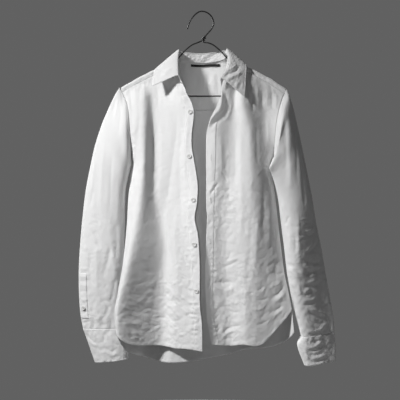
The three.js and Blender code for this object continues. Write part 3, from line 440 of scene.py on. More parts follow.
LEFT_SLEEVE = table(
    "ring ox od oy ix id iy front back skew peak",
    (0, 206, 188, 0, 170, 364, -7, 8, 8, 0, 1),
    (0.05, 213, 206, 0, 176, 368, -27, 20, 15, -0.3, 1),
    (0.11, 222, 236, 2, 164, 372, -35, 24, 15, -0.5, 1),
    (0.19, 232, 280, 4, 160, 380, -38, 30, 19, -0.6, 1),
    (0.28, 243, 330, 7, 167, 396, -32, 32, 24, -0.65, 1),
    (0.37, 254, 384, 9, 176, 424, -25, 33, 25, -0.5, 1),
    (0.48, 267, 446, 10, 184, 460, -16, 33, 25, -0.1, 1.1),
    (0.58, 277, 508, 11, 190, 512, -11, 34, 25, 0.3, 1.3),
    (0.68, 290, 570, 13, 198, 572, -10, 34, 25, 0.65, 1.3),
    (0.78, 302, 640, 14, 206, 640, -10, 29, 24, 0.8, 0.9),
    (0.88, 314, 706, 14, 219, 706, -9, 26, 24, 0.85, 0.75),
    (0.95, 321, 750, 13, 231, 752, -8, 23, 22, 0.8, 0.7),
    (1, 322, 776, 12, 238, 781, -7, 20, 20, 0.75, 0.7),
)
RIGHT_CUFF = table(
    "ring ox od oy ix id iy front back skew peak",
    (0, -289, 766.2, 10, -191, 765.2, 10, 21, 20, 0.1, 0.8),
    (0.5, -274, 808, 10, -184, 803, 9, 22, 20, 0.1, 0.8),
    (1, -260, 849, 10, -178, 840, 8, 21, 19, 0.1, 0.8),
)
LEFT_CUFF = table(
    "ring ox od oy ix id iy front back skew peak",
    (0, 322, 777.2, 12, 238, 782.2, -7, 20, 20, 0.75, 0.7),
    (0.4, 325, 812, 11, 230, 804, -6, 21, 20, 0.75, 0.7),
    (1, 324, 846, 10, 247, 853, -5, 19, 18, 0.7, 0.7),
)
UNDERARM = {"right": 368, "left": 364}    # drops of the armholes' lowest places
ARMHOLE_REACH = 0.3                       # share of the sleeve that the armhole draws in
ARMHOLE_GAP, UNDERARM_GAP = 0.3, 1.2      # between the sleeve's edge and the body's


def tube(rings, turn, v):
    """Rings joined down the tube. The turn starts at the outer point and goes over the front:
    half a cosine runs from the outer to the inner point, and a sine bulges to front and back.
    In front the sine is raised to the ring's peak: below 1 the face is flat, above 1 it is
    pointed. The skew moves the crest towards the inner point."""
    ring = {name: through(rings["ring"], rings[name], v) for name in rings}
    side = np.sin(2 * np.pi * turn)
    share = (1 - np.cos(2 * np.pi * turn)) / 2
    crest = 1 + ring["skew"] * (share - 0.5) * 2
    ahead = ring["front"] * np.maximum(side, 0) ** ring["peak"] * crest
    y = mix(ring["oy"], ring["iy"], share) - np.where(side > 0, ahead, ring["back"] * side)
    return points(mix(ring["ox"], ring["ix"], share), y, mix(ring["od"], ring["id"], share))


def sleeve(rings, seam, underarm, turn, v):
    """The tube, drawn towards the armhole seam by a share that dies away down the arm."""
    turn, v = np.broadcast_arrays(turn[None, :], v[:, None])
    side = np.sin(2 * np.pi * turn)
    share = (1 - np.cos(2 * np.pi * turn)) / 2
    drop = mix(rings["od"][0], underarm, share)
    edge = np.where(side > 0, curve(seam, "drop", "front")(drop), curve(seam, "drop", "back")(drop))
    gap = mix(ARMHOLE_GAP, UNDERARM_GAP, smooth((share - 0.7) / 0.3)) * np.sign(seam["x"][0])
    armhole = points(curve(seam, "drop", "x")(drop) + gap, edge, drop)
    fade = (1 - smooth(v / ARMHOLE_REACH))[..., None] ** 2
    return tube(rings, turn, v) + (armhole - tube(rings, turn, np.zeros_like(v))) * fade


CUFF_START, CUFF_LAP = 0.86, 0.07    # the turn at which a cuff starts, and its overlap
CUFF_LIFT = 1.6                      # how far the lap lies above the start


def cuff(rings, u, v):
    """A band once round the tube and a little more, whose end lies clear of its start."""
    u, v = np.broadcast_arrays(u[None, :], v[:, None])
    turn = CUFF_START + u * (1 + CUFF_LAP)
    band = tube(rings, turn, v)
    outward = normals(band) * (1 if rings["ox"][0] < 0 else -1)
    return band + outward * CUFF_LIFT * smooth((u * (1 + CUFF_LAP) - 0.6) / 0.36)[..., None]


# %% [markdown]
# ## The collar's two parts
#
# A stand goes up from the neckline and a leaf rounds over its top and falls outside it.
# Stations round the neck give three places each: the seam, the roll and the leaf's outer
# edge. The stand is straight between the first two. The leaf follows a cubic curve that
# leaves the roll upwards and then falls, which is how folded cloth with interlining goes.

# %% Stand and leaf
def neckline(x):
    """y and drop of the stand's seam behind the neck: just inside the yoke's upper edge."""
    place = on_bend(x, yoke_start(x))
    return place[1] - 1, -place[2] - 1.6


COLLAR = table(
    "s sx sy sd rx ry rd lx ly ld",
    (0, -36.5, -44, 199, -55, -46, 163, -117, -52, 186),
    (0.14, -49, -28, 160, -57, -32, 137, -116, -34, 162),
    (0.27, -60, -6, 106, -56, -10, 97, -111, -9, 138),
    (0.38, -47, *neckline(-47), -50, 20, 95, -84, 36, 134),
    (0.5, 2, *neckline(2), 2, 33, 97, 2, 48, 142),
    (0.62, 50, *neckline(50), 54, 20, 92, 86, 36, 130),
    (0.73, 62, -6, 106, 60, -10, 95, 106, -10, 127),
    (0.86, 55, -30, 148, 63, -34, 134, 105, -32, 170),
    (1, 45.5, -48, 187, 43, -54, 169, 102, -51, 214),
)
STAND_START = 0.02     # the stand starts this share of its height above the seam
ROLL_RISE = 6          # how far the leaf's curve goes on upwards at the roll
LEAF_PUSH = 5          # how far its second control place is pushed outwards
LEAF_OFF_YOKE = 3.2    # the least distance from the yoke's bend


def collar_line(row, s):
    """One of the three collar lines, s (seam), r (roll) or l (leaf's edge), at stations s."""
    return points(*(through(COLLAR["s"], COLLAR[row + axis], s) for axis in "xyd"))


def collar_stand(s, v):
    """Straight from the neck seam to the roll."""
    seam, roll = collar_line("s", s)[None], collar_line("r", s)[None]
    return mix(seam, roll, mix(STAND_START, 1, v)[:, None, None])


def clear_of_yoke(p, distance):
    """Points inside the yoke's bend are moved out to this distance from it."""
    off, high = bend_at(p[..., 0])
    up = np.maximum(0, p[..., 2] + ridge_drop(p[..., 0]) + high)
    deep = np.where(p[..., 1] < 0, FRONT_LEG, off) + distance
    radial = np.hypot(p[..., 1] / deep, up / (high + distance))
    grow = 1 / np.clip(radial, 1e-3, 1)
    moved = np.stack([p[..., 0], p[..., 1] * grow, p[..., 2] + up * (grow - 1)], axis=-1)
    return np.where((radial < 1)[..., None], moved, p)


def collar_leaf(s, v):
    """A cubic Bezier: up from the roll, over, and down to the leaf's outer edge."""
    seam, roll, edge = (collar_line(row, s)[None] for row in "srl")
    rise = unit(roll - seam)
    outward = unit((edge - roll) * [1, 1, 0])
    start = roll + rise * 1.2
    first = start + rise * ROLL_RISE
    second = mix(start, edge, 0.3) + outward * LEAF_PUSH
    t = v[:, None, None]
    ends = start * (1 - t) ** 3 + edge * t**3
    return clear_of_yoke(ends + 3 * t * (1 - t) * (first * (1 - t) + second * t), LEAF_OFF_YOKE)


# %% [markdown]
# ## From a surface to cloth
#
# A surface has no thickness, and real cloth shows its edge at a hem or a collar. Blender's
# Solidify modifier would thicken a sheet evenly. Here both sides are computed instead,
# because a hem is a roll of three layers and has to be thicker than the cloth beside it.
# The grid moves half its thickness out and in along its own normals, and strips close the
# rims. The flat coordinates of the cloth go into a UV map, so that a weave follows it.

# %% Closed thin shells
def new_piece(name, places, faces, material):
    """An object of its own mesh and finish, from places in millimetres and lists of corners."""
    mesh = bpy.data.meshes.new(name)
    mesh.from_pydata(places * MM, [], faces)
    mesh.shade_smooth()
    mesh.materials.append(material)
    piece = bpy.data.objects.new(name, mesh)
    bpy.context.scene.collection.objects.link(piece)
    return piece


def flat_lengths(grid, wraps):
    """How far each column and each row lies along the cloth, on one row and one column."""
    middle = grid[grid.shape[0] // 2]
    if wraps:
        middle = np.concatenate([middle, middle[:1]])
    across = np.concatenate([[0], np.cumsum(np.linalg.norm(np.diff(middle, axis=0), axis=1))])
    column = grid[:, grid.shape[1] // 4]
    down = np.concatenate([[0], np.cumsum(np.linalg.norm(np.diff(column, axis=0), axis=1))])
    return across, down


def corners_of(net):
    """The four corners of every cell of a net, round the cell."""
    cells = np.stack([net[:-1, :-1], net[:-1, 1:], net[1:, 1:], net[1:, :-1]], axis=2)
    return cells.reshape(-1, 4, *net.shape[2:])


def band_of(line):
    """The cells between a line on the outer side and the same line on the inner side."""
    outer, inner = line
    return np.stack([outer[:-1], outer[1:], inner[1:], inner[:-1]], axis=1)


def shell(name, grid, thickness, material, wraps=False):
    """A closed mesh: the grid moved half the thickness along its normals to both sides."""
    rows, columns = grid.shape[:2]
    half = normals(grid, wraps) * (np.broadcast_to(thickness, (rows, columns)) / 2)[..., None]
    places = np.concatenate([(grid + half).reshape(-1, 3), (grid - half).reshape(-1, 3)])
    number = np.arange(rows * columns).reshape(rows, columns)
    if wraps:
        number = np.concatenate([number, number[:, :1]], axis=1)
    across, down = flat_lengths(grid, wraps)
    flat = np.stack(np.broadcast_arrays(across[None, :], down[:, None]), axis=-1) * MM
    below = rows * columns
    edges = [(slice(0, 1), slice(None, None, -1)), (slice(-1, None), slice(None))]
    if not wraps:
        edges += [(slice(None), slice(0, 1)), (slice(None, None, -1), slice(-1, None))]
    faces, flats = [corners_of(number), corners_of(number)[:, ::-1] + below], [corners_of(flat)]
    flats.append(flats[0][:, ::-1])
    for edge in edges:
        line, place = number[edge].ravel(), flat[edge].reshape(-1, 2)
        faces.append(band_of((line, line + below)))
        flats.append(band_of((place, place)))
    piece = new_piece(name, places, np.concatenate(faces), material)
    layer = piece.data.uv_layers.new(name="cloth")
    layer.data.foreach_set("uv", np.concatenate(flats).ravel())
    return piece


def sheet_area(grid, wraps=False):
    """The area of a grid in square metres: half the cross product of each cell's diagonals."""
    if wraps:
        grid = np.concatenate([grid, grid[:, :1]], axis=1)
    a, b, c, d = grid[:-1, :-1], grid[:-1, 1:], grid[1:, 1:], grid[1:, :-1]
    return float(np.linalg.norm(np.cross(c - a, d - b), axis=-1).sum() / 2) * MM * MM


# %% [markdown]
# ## Creases
#
# Sculpting would make creases too, but a list of them can be read and changed. A crease
# is a short path on the cloth with a height and a width. Its height is greatest on the
# path and falls to nothing at both sides and both ends. A positive height stands out of
# the cloth and a negative one is pressed in. The large ones are placed one by one, each
# with its own length, depth and bend, because cloth never folds twice in the same way.

# %% Creases placed one by one
def crease_height(x, drop, creases):
    """Sum of all creases at each place: height times exp(-(distance / width) to the power 1.5),
    with the distance taken to the nearest stretch of the crease's smooth path."""
    total = np.zeros(x.shape)
    for height, width, *path in creases:
        path = np.array(path, float)
        low, high = path.min(axis=0) - 3.5 * width, path.max(axis=0) + 3.5 * width
        near = (x > low[0]) & (x < high[0]) & (drop > low[1]) & (drop < high[1])
        if not near.any():
            continue
        place = np.stack([x[near], drop[near]], axis=-1)
        knots = np.arange(len(path))
        steps = np.linspace(0, len(path) - 1, 5 * (len(path) - 1) + 1)
        line = np.stack([through(knots, path[:, k], steps) for k in (0, 1)], axis=-1)
        step = np.diff(line, axis=0)
        length = np.maximum(np.linalg.norm(step, axis=1), 1e-6)
        offset = place[None] - line[:-1, None]
        share = np.clip((offset * step[:, None]).sum(-1) / length[:, None] ** 2, 0, 1)
        distance = np.linalg.norm(offset - share[..., None] * step[:, None], axis=-1)
        nearest = distance.argmin(axis=0)[None]
        distance = np.take_along_axis(distance, nearest, 0)[0]
        run = np.concatenate([[0], np.cumsum(length)])
        along = (run[:-1, None] + share * length[:, None]) / run[-1]
        along = np.take_along_axis(along, nearest, 0)[0]
        ends = smooth(along / 0.3) * smooth((1 - along) / 0.3)
        total[near] += height * ends * np.exp(-((distance / width) ** 1.5))
    return total


# %% [markdown]
# ## Small crumples
#
# Worn cotton is covered with small crumples that nobody could list. Two kinds are enough.
# Short creases are scattered by a seeded random list. Crinkles are facets that meet at
# sharp lines, as in paper that was balled up and opened: each point of the cloth belongs
# to the nearest of many random places, and the line between two places is the crease.
# Because the seeds are fixed, the shirt comes out the same every time.

# %% Small crumples from seeded numbers
def crumples(seed, count, box, slant, spread, length, width, height):
    """Short creases scattered over box (x0, x1, drop0, drop1): the slant is in degrees below
    the horizontal, and lengths, widths and heights are ranges. Half stand out, half go in."""
    draw = np.random.default_rng(seed)
    rows = []
    for _ in range(count):
        middle = np.array([draw.uniform(*box[:2]), draw.uniform(*box[2:])])
        angle = np.radians(draw.normal(slant, spread))
        along = np.array([np.cos(angle), np.sin(angle)]) * draw.uniform(*length) / 2
        bow = along[::-1] * [-1, 1] * draw.normal(0, 0.25)
        lift = draw.uniform(*height) * (1 if draw.random() < 0.5 else -1)
        rows.append((lift, draw.uniform(*width), middle - along, middle + bow, middle + along))
    return rows


def uneven(a, b, size, seed):
    """Soft random hills of about this size, from -1 to 1: random heights on a net, joined smoothly."""
    net = np.random.default_rng(seed).uniform(-1, 1, (61, 61))
    a, b = a / size + 30.3, b / size + 30.7
    i, j = np.floor(a).astype(int), np.floor(b).astype(int)
    s, t = smooth(a - i), smooth(b - j)
    top = mix(net[j % 61, i % 61], net[j % 61, (i + 1) % 61], s)
    low = mix(net[(j + 1) % 61, i % 61], net[(j + 1) % 61, (i + 1) % 61], s)
    return mix(top, low, t)


def crinkles(a, b, size, seed):
    """Facets of about this size, from -0.3 on the creases to 0.7: one random place in each
    cell of a net, and the distance to the second nearest less that to the nearest."""
    spots = np.random.default_rng(seed).uniform(0, 1, (67, 67, 2))
    a, b = a / size + 100, b / size + 100
    i, j = np.floor(a).astype(int), np.floor(b).astype(int)
    away = []
    for across in (-1, 0, 1):
        for down in (-1, 0, 1):
            spot = spots[(j + down) % 67, (i + across) % 67]
            away.append(np.hypot(i + across + spot[..., 0] - a, j + down + spot[..., 1] - b))
    near = np.partition(np.stack(away), 1, axis=0)
    return near[1] - near[0] - 0.3


def patches(x, drop, rows):
    """The strongest of several oval patches: rows of strength, x, drop, reach in x and in drop.
    Each falls smoothly from its strength in the middle to 0 at its rim."""
    total = np.zeros(x.shape)
    for strength, x0, drop0, wide, high in rows:
        total = np.maximum(total, strength * smooth(1.3 - np.hypot((x - x0) / wide, (drop - drop0) / high)))
    return total


# %% [markdown]
# ## Puckers along seams
#
# A row of stitches is a little shorter than the cloth it holds, and after washing the
# cloth on both sides of it stands up in small waves. The waves are random heights at a
# pitch along the seam, and they are greatest just beside it and gone a centimetre away.

# %% Puckers, and moving a surface by a height
def puckers(away, along, pitch, height, reach, seed):
    """Small waves across a row of stitches: random heights every pitch along the row,
    greatest a little way off the stitches and gone at the reach."""
    wave = uneven(along, 0.35 * away, pitch, seed)
    return height * wave * smooth(away / (0.3 * reach)) * smooth((reach - away) / (0.7 * reach))


def run_across(grid, column=0):
    """How far each point lies from a column, measured along its row."""
    step = np.linalg.norm(np.diff(grid, axis=1), axis=-1)
    run = np.concatenate([np.zeros((len(grid), 1)), np.cumsum(step, axis=1)], axis=1)
    return np.abs(run - run[:, column][:, None])


def run_down(grid, row=0):
    """How far each point lies from a row, measured along its column."""
    return run_across(np.swapaxes(grid, 0, 1), row).T


def lifted(grid, height, wraps=False, side=1):
    """The grid moved along its normals by a height at each point, on the side that faces out."""
    return grid + normals(grid, wraps) * (side * height)[..., None]


# %% [markdown]
# ## A weave and fine crumples
#
# The cloth is a fine plain weave, so up close each thread goes over one and under the
# next. That pattern is a product of two sines of the flat coordinates, which is cheaper
# and more regular than a texture. The smallest crumples are too many for the mesh, so
# they are a bump as well: facets of one size whose edges are sharp lines. Both are node
# groups, because several finishes use them, each with its own sizes.

# %% Two node groups
def node(tree, kind, inputs=(), **settings):
    """A new node: its settings, and for each input socket a value or the output that feeds it."""
    made = tree.nodes.new(kind)
    for name, value in settings.items():
        setattr(made, name, value)
    feed(tree, made, inputs)
    return made


def feed(tree, made, inputs):
    """Gives each named or numbered input of a node its value or its link."""
    for socket, value in dict(inputs).items():
        if isinstance(value, bpy.types.NodeSocket):
            tree.links.new(value, made.inputs[socket])
        else:
            made.inputs[socket].default_value = value


def maths(tree, operation, a, b=0.5):
    """The output of one sum, product or sine of values or outputs."""
    return node(tree, "ShaderNodeMath", {0: a, 1: b}, operation=operation).outputs[0]


def axes_of(tree, place):
    """The three parts of a place, by the letter of their axis."""
    return node(tree, "ShaderNodeSeparateXYZ", {0: place}).outputs


def new_group(name, size_name, heights):
    """An empty node group that takes a place and a size and gives heights, with its two ends."""
    group = bpy.data.node_groups.new(name, "ShaderNodeTree")
    group.interface.new_socket("Place", in_out="INPUT", socket_type="NodeSocketVector")
    group.interface.new_socket(size_name, in_out="INPUT", socket_type="NodeSocketFloat")
    for height in heights:
        group.interface.new_socket(height, in_out="OUTPUT", socket_type="NodeSocketFloat")
    return group, node(group, "NodeGroupInput").outputs, node(group, "NodeGroupOutput")


def weave_group():
    """Height of a plain weave: the sine across times the sine down. The second height is noise
    drawn out along the thread, for thick and thin places."""
    group, given, out = new_group("plain_weave", "Threads per metre", ["Height", "Slub"])
    axes, turns = axes_of(group, given["Place"]), maths(group, "MULTIPLY", given[1], math.pi)
    across, down = (maths(group, "SINE", maths(group, "MULTIPLY", axes[a], turns)) for a in "XY")
    drawn = node(group, "ShaderNodeMapping", {"Vector": given["Place"], "Scale": (1, 14, 1)})
    slub = node(group, "ShaderNodeTexNoise", {"Vector": drawn.outputs[0], "Scale": 90, "Detail": 4})
    feed(group, out, {"Height": maths(group, "MULTIPLY", across, down), "Slub": slub.outputs[0]})
    return group


def crushed_group():
    """Height of fine crumples: the distance to the nearest edge between facets of one size, on
    places that noise has bent. Slow noise lets them come and go, and they grow from a drop of
    0.35 m to one of 0.72 m."""
    group, given, out = new_group("crushed_cloth", "Size", ["Height"])
    place = given["Place"]
    bend = node(group, "ShaderNodeTexNoise", {"Vector": place, "Scale": 45}).outputs["Color"]
    bent = node(group, "ShaderNodeVectorMath", {0: bend, 1: (0.016, 0.016, 0.016), 2: place},
                operation="MULTIPLY_ADD").outputs[0]
    count = maths(group, "DIVIDE", 1.0, given["Size"])
    facets = node(group, "ShaderNodeTexVoronoi", {"Vector": bent, "Scale": count},
                  feature="DISTANCE_TO_EDGE").outputs["Distance"]
    slow = node(group, "ShaderNodeTexNoise", {"Vector": place, "Scale": 14}).outputs[0]
    here = node(group, "ShaderNodeMapRange", {0: slow, 1: 0.4, 2: 0.65}).outputs[0]
    height = axes_of(group, place)["Z"]
    low = node(group, "ShaderNodeMapRange", {0: height, 1: -0.35, 2: -0.72, 3: 0.25, 4: 1.0})
    strength = maths(group, "MULTIPLY", here, low.outputs[0])
    feed(group, out, {"Height": maths(group, "MULTIPLY", facets, strength)})
    return group


plain_weave, crushed_cloth = weave_group(), crushed_group()
print("node groups:", [group.name for group in (plain_weave, crushed_cloth)])

# %% [markdown]
# ## Finishes
#
# Each finish starts from one shader. What is the same everywhere, such as the sheen, is
# set on the shader itself. What changes over the surface, such as a trace of grey in the
# cotton or the worn coating of the wire, comes from noise and runs into colour,
# roughness and bump.

# %% Finishes
WEAVE_ROUGH, WEAVE_BLOTCH = (0.78, 0.92), 0.05
CRUMPLE_SIZE = 0.012


def grey(value):
    """A colour without hue."""
    return (value, value, value)


def finish(name, dark, light, rough, blotch, bump, **settings):
    """A shader whose colour runs between two colours over soft blotches of a size in metres,
    with roughness between two values and a bump of its own height in metres."""
    material = bpy.data.materials.new(name)
    material.use_nodes = True
    tree = material.node_tree
    where = node(tree, "ShaderNodeTexCoord").outputs["Object"]
    scale = {"Vector": where, "Scale": 1 / blotch, "Detail": 5}
    noise = node(tree, "ShaderNodeTexNoise", scale).outputs[0]
    ends = {"A": (*dark, 1), "B": (*light, 1), "Factor": noise}
    tone = node(tree, "ShaderNodeMix", data_type="RGBA")
    feed(tree, tone, ends)
    span = {"Value": noise, "To Min": rough[0], "To Max": rough[1]}
    raised = node(tree, "ShaderNodeBump", {"Distance": bump})
    feed(tree, tree.nodes["Principled BSDF"], {
        "Base Color": tone.outputs["Result"],
        "Roughness": node(tree, "ShaderNodeMapRange", span).outputs[0],
        "Normal": raised.outputs[0],
        **{socket.replace("_", " "): value for socket, value in settings.items()},
    })
    return material, tree, noise, raised


def woven(name, dark, light, threads, bump, crushed=0, **settings):
    """A finish whose bump is the plain weave on the cloth's own flat coordinates, and under it
    the fine crumples, with their height in metres."""
    material, tree, _, raised = finish(
        name, dark, light, WEAVE_ROUGH, WEAVE_BLOTCH, bump, **settings)
    flat = node(tree, "ShaderNodeUVMap", uv_map="cloth").outputs[0]
    weave = node(tree, "ShaderNodeGroup", node_tree=plain_weave)
    feed(tree, weave, {"Threads per metre": threads, "Place": flat})
    height = maths(tree, "ADD", weave.outputs["Height"], weave.outputs["Slub"])
    feed(tree, raised, {"Height": height})
    if crushed:
        where = node(tree, "ShaderNodeTexCoord").outputs["Object"]
        fine = node(tree, "ShaderNodeGroup", node_tree=crushed_cloth)
        feed(tree, fine, {"Size": CRUMPLE_SIZE, "Place": where})
        under = node(tree, "ShaderNodeBump", {"Distance": crushed, "Height": fine.outputs[0]})
        feed(tree, raised, {"Normal": under.outputs[0]})
    return material


def solid_finish(name, dark, light, rough, blotch, bump, **settings):
    """A finish whose bump is the same noise that gives its colour."""
    material, tree, noise, raised = finish(name, dark, light, rough, blotch, bump, **settings)
    feed(tree, raised, {"Height": noise})
    return material


cotton = woven(
    "cotton_poplin", grey(0.76), grey(0.84), 3600, 0.00004, crushed=0.0016, Sheen_Weight=0.2)
label_cloth = woven("black_label_weave", grey(0.006), grey(0.014), 2200, 0.00006)
thread = solid_finish("sewing_thread", grey(0.66), grey(0.8), (0.6, 0.8), 0.0006, 0.00005)
wire_coating = solid_finish(
    "wire_coating", grey(0.008), grey(0.02), (0.3, 0.5), 0.006, 0.00005)
button_shell = solid_finish(
    "button_shell", (0.6, 0.6, 0.59), (0.8, 0.8, 0.79), (0.2, 0.34), 0.004, 0.00002,
    Coat_Weight=0.4)
print("finishes:", [m.name for m in (cotton, label_cloth, thread, wire_coating, button_shell)])

# %% [markdown]
# ## The right front
#
# A front is a panel that hangs from the shoulder seam and ends in a curved hem. It could
# be draped by a simulation, but then its folds would fall where they like. Here the fold
# lines give the large form, the creases below are laid on it one by one, and crinkles
# fade in where the cloth is most worn: low down, along the strip and under the arm.

# %% What every piece of cloth needs
CLOTH = 0.5          # thickness of one layer
STRIP_CLOTH = 0.5    # the stitched strips
PRESSED = 0.35       # how much thinner they are along their seam
PRESSED_WIDE = 3     # and within which distance of it
ON_CLOTH = 0.53      # how far the middle of a strip lies above the middle of the cloth
DOUBLED = 1.0        # cuffs and collar
HEM_WIDE, HEM_ROLL = 7, 1.3    # a rolled hem's width and thickness
RIPPLE_PITCH, RIPPLE_HIGH, RIPPLE_SLANT = 6.5, 0.55, 0.8
FRONT_COLUMNS, FRONT_ROWS = 112, 320
EDGE = 0.9985        # the share of the way to the side seam at which a panel stops


def edge_fade(grid, top=8, side=None, reach=9):
    """0 on the sewn top edge, and on one sewn side if any, rising to 1 within the reach."""
    fade = smooth(run_down(grid) / top)
    if side is not None:
        fade = fade * smooth(run_across(grid, side) / reach)
    return fade


def hem_thickness(grid):
    """The cloth's thickness, and that of a rolled hem within its width of the lower edge."""
    return CLOTH + (HEM_ROLL - CLOTH) * smooth((HEM_WIDE - run_down(grid, -1)) / 1.5 + 0.5)


def hem_ripple(grid, seed):
    """Slanting ripples in a narrow hem: its stitches pull the roll askew every centimetre."""
    up, along = run_down(grid, -1), run_across(grid)
    twist = uneven(along + RIPPLE_SLANT * up, np.zeros_like(up), RIPPLE_PITCH, seed)
    return RIPPLE_HIGH * twist * smooth((26 - up) / 20)


def worn_cloth(base, creases, worn, slant, facet, soft, seed):
    """Height of a worn front: its creases, facets drawn askew by the slant and soft hills in
    its worn patches, and upright waves with small hills everywhere."""
    x, drop = base[..., 0], -base[..., 2]
    sharp = crinkles(x + slant[0] * drop, drop + slant[1] * x, facet, seed)
    height = crease_height(x, drop, creases)
    height += patches(x, drop, worn) * (1.7 * sharp + soft * uneven(x, drop, 11, seed + 1))
    return height + 0.5 * uneven(x, 0.25 * drop, 15, seed + 2) + 0.2 * uneven(x, drop, 6, seed + 3)


def pulled_seam(base, column, least, rows, reach, seed):
    """Puckers beside the seam that holds a strip, stronger in the patches of the rows."""
    x, drop = base[..., 0], -base[..., 2]
    pulled = least + patches(x, drop, rows)
    return pulled * puckers(run_across(base, column) + 1.5, drop, 5.5, 1.0, reach, seed)


def settle(piece, node_name):
    """A finished piece rides on the shirt and stands for its solid, which is hidden."""
    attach(piece, "root")
    if node_name:
        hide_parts(node_name)
    return piece


def cotton_piece(name, grid, thickness, wraps=False):
    """A shell of cotton that stands for the solid of its name."""
    print(name + ":", round(sheet_area(grid, wraps), 4), "m2")
    return settle(shell(name + "_cloth", grid, thickness, cotton, wraps), name)


# %% Creases of the right front
RIGHT_FRONT_CREASES = [
    # long soft folds from the shoulder down
    (-2.0, 9, (-62, 235), (-61, 300), (-73, 380), (-82, 440), (-90, 500)),
    (1.5, 10, (-98, 215), (-96, 300), (-96, 380), (-101, 440), (-104, 500)),
    (1.0, 6, (-30, 245), (-36, 300), (-40, 380), (-38, 450)),
    (-1.1, 6, (-46, 230), (-50, 300), (-54, 380), (-50, 460), (-45, 530)),
    (1.3, 7, (-60, 470), (-63, 560), (-56, 640), (-52, 715)),
    (-0.9, 5, (-75, 560), (-78, 620), (-72, 680)),
    (1.0, 5, (-160, 250), (-161, 320), (-166, 400)),
    (-0.8, 5, (-151, 215), (-150, 270), (-152, 330)),
    # gathers under the shoulder seam
    (0.9, 3.5, (-184, 187), (-181, 215), (-177, 245)),
    (-1.0, 3.5, (-174, 182), (-171, 215), (-168, 250)),
    (0.9, 3.5, (-162, 176), (-160, 205), (-157, 235)),
    (-0.8, 3.0, (-152, 170), (-150, 195), (-149, 225)),
    (0.6, 3.5, (-139, 168), (-138, 195), (-136, 225)),
    (-0.7, 4.0, (-108, 178), (-106, 205), (-105, 240)),
    # beside the armhole
    (1.6, 6, (-178, 205), (-175, 230), (-172, 255)),
    (1.3, 5, (-180, 262), (-172, 282)),
    (-2.2, 4, (-184, 352), (-174, 342), (-163, 334)),
    (1.7, 5, (-183, 365), (-172, 356), (-160, 350)),
    (-1.2, 4, (-176, 300), (-166, 312), (-160, 330)),
    # small ones near the strip
    (-1.0, 3, (-42, 443), (-34, 452), (-26, 467)),
    (0.9, 3, (-44, 452), (-36, 461), (-29, 475)),
    (-1.0, 3, (-57, 573), (-46, 588), (-34, 612)),
    (0.9, 3, (-52, 568), (-40, 583), (-30, 604)),
    (-1.0, 2.8, (-42, 660), (-35, 664), (-27, 673)),
    (-1.1, 3, (-62, 638), (-55, 645), (-49, 657)),
    (0.9, 3, (-66, 648), (-58, 656), (-53, 668)),
    (-0.9, 2.6, (-37, 729), (-29, 724), (-20, 726)),
    (-0.8, 2.6, (-34, 300), (-27, 306), (-21, 316)),
    (0.8, 3, (-36, 508), (-28, 514), (-20, 528)),
    # the crushed corner over the hem
    (-1.2, 3.0, (-178, 727), (-166, 731), (-148, 741)),
    (-1.1, 3.0, (-172, 713), (-158, 720), (-146, 733)),
    (1.0, 3.0, (-180, 738), (-160, 749), (-138, 753)),
    (-1.0, 3.0, (-152, 698), (-136, 711), (-117, 716)),
    (0.9, 3.0, (-167, 688), (-154, 695), (-142, 703)),
    (-0.9, 2.6, (-163, 758), (-142, 768), (-117, 765)),
    (0.9, 3.0, (-188, 700), (-178, 708), (-168, 716)),
    (0.8, 2.6, (-136, 727), (-118, 735), (-100, 734)),
    (-0.8, 2.6, (-130, 742), (-112, 750), (-92, 747)),
    (-0.6, 2.5, (-190, 662), (-176, 676), (-162, 690)),
    (0.5, 2.5, (-180, 640), (-164, 658), (-152, 672)),
    (-0.5, 2.5, (-166, 600), (-154, 618), (-146, 634)),
    (0.5, 2.5, (-146, 630), (-134, 646), (-124, 660)),
    # slanting ones that run from the valley towards the strip
    (1.2, 4, (-100, 655), (-78, 668), (-60, 690)),
    (-1.2, 4, (-96, 672), (-76, 686), (-58, 708)),
    (1.0, 4, (-92, 700), (-70, 714), (-50, 738)),
    (-1.1, 3.5, (-98, 722), (-76, 738), (-52, 760)),
    (0.9, 3.5, (-88, 748), (-66, 760), (-44, 780)),
    (1.0, 3, (-24, 700), (-14, 710), (-4, 722)),
]
RIGHT_FRONT_CREASES += crumples(11, 60, (-100, -4, 635, 800), 35, 50, (12, 38), (1.6, 3), (0.35, 0.95))
RIGHT_FRONT_CREASES += crumples(12, 56, (-195, -100, 620, 795), -30, 50, (12, 38), (1.7, 3.2), (0.4, 1.1))
RIGHT_FRONT_CREASES += crumples(13, 60, (-185, -15, 240, 640), 78, 26, (24, 60), (2.8, 5), (0.2, 0.55))

# %% Right front
u = np.linspace(0, EDGE, FRONT_COLUMNS + 1)
v = np.linspace(0, 1, FRONT_ROWS + 1)
RIGHT_STRIP, LEFT_STRIP = FRONT_COLUMNS // 7, FRONT_COLUMNS * 2 // 15    # their columns
RIGHT_WORN = [
    (0.9, -150, 735, 70, 70), (0.7, -60, 730, 90, 110), (0.5, -25, 620, 40, 150),
    (0.5, -172, 340, 26, 120), (0.25, -110, 480, 140, 260),
]
RIGHT_PULLED = [
    (0.9, -15, 550, 60, 34), (0.7, -15, 600, 60, 26), (1.2, -15, 740, 60, 90),
    (0.9, -50, 190, 60, 60),
]
base = panel(RIGHT_FRONT_FOLDS, u, v, shoulder_seam, curve(RIGHT_FRONT_HEM, "x", "drop"))
height = worn_cloth(base, RIGHT_FRONT_CREASES, RIGHT_WORN, (0.3, -0.2), 21, 0.5, 14)
height += pulled_seam(base, RIGHT_STRIP, 0.35, RIGHT_PULLED, 17, 18)
height += puckers(run_down(base), base[..., 0], 6, 0.8, 26, 19) + hem_ripple(base, 20)
right_front_grid = lifted(base, height * edge_fade(base, side=-1))
right_front = cotton_piece("right_front", right_front_grid, hem_thickness(right_front_grid))
print("creases:", len(RIGHT_FRONT_CREASES))

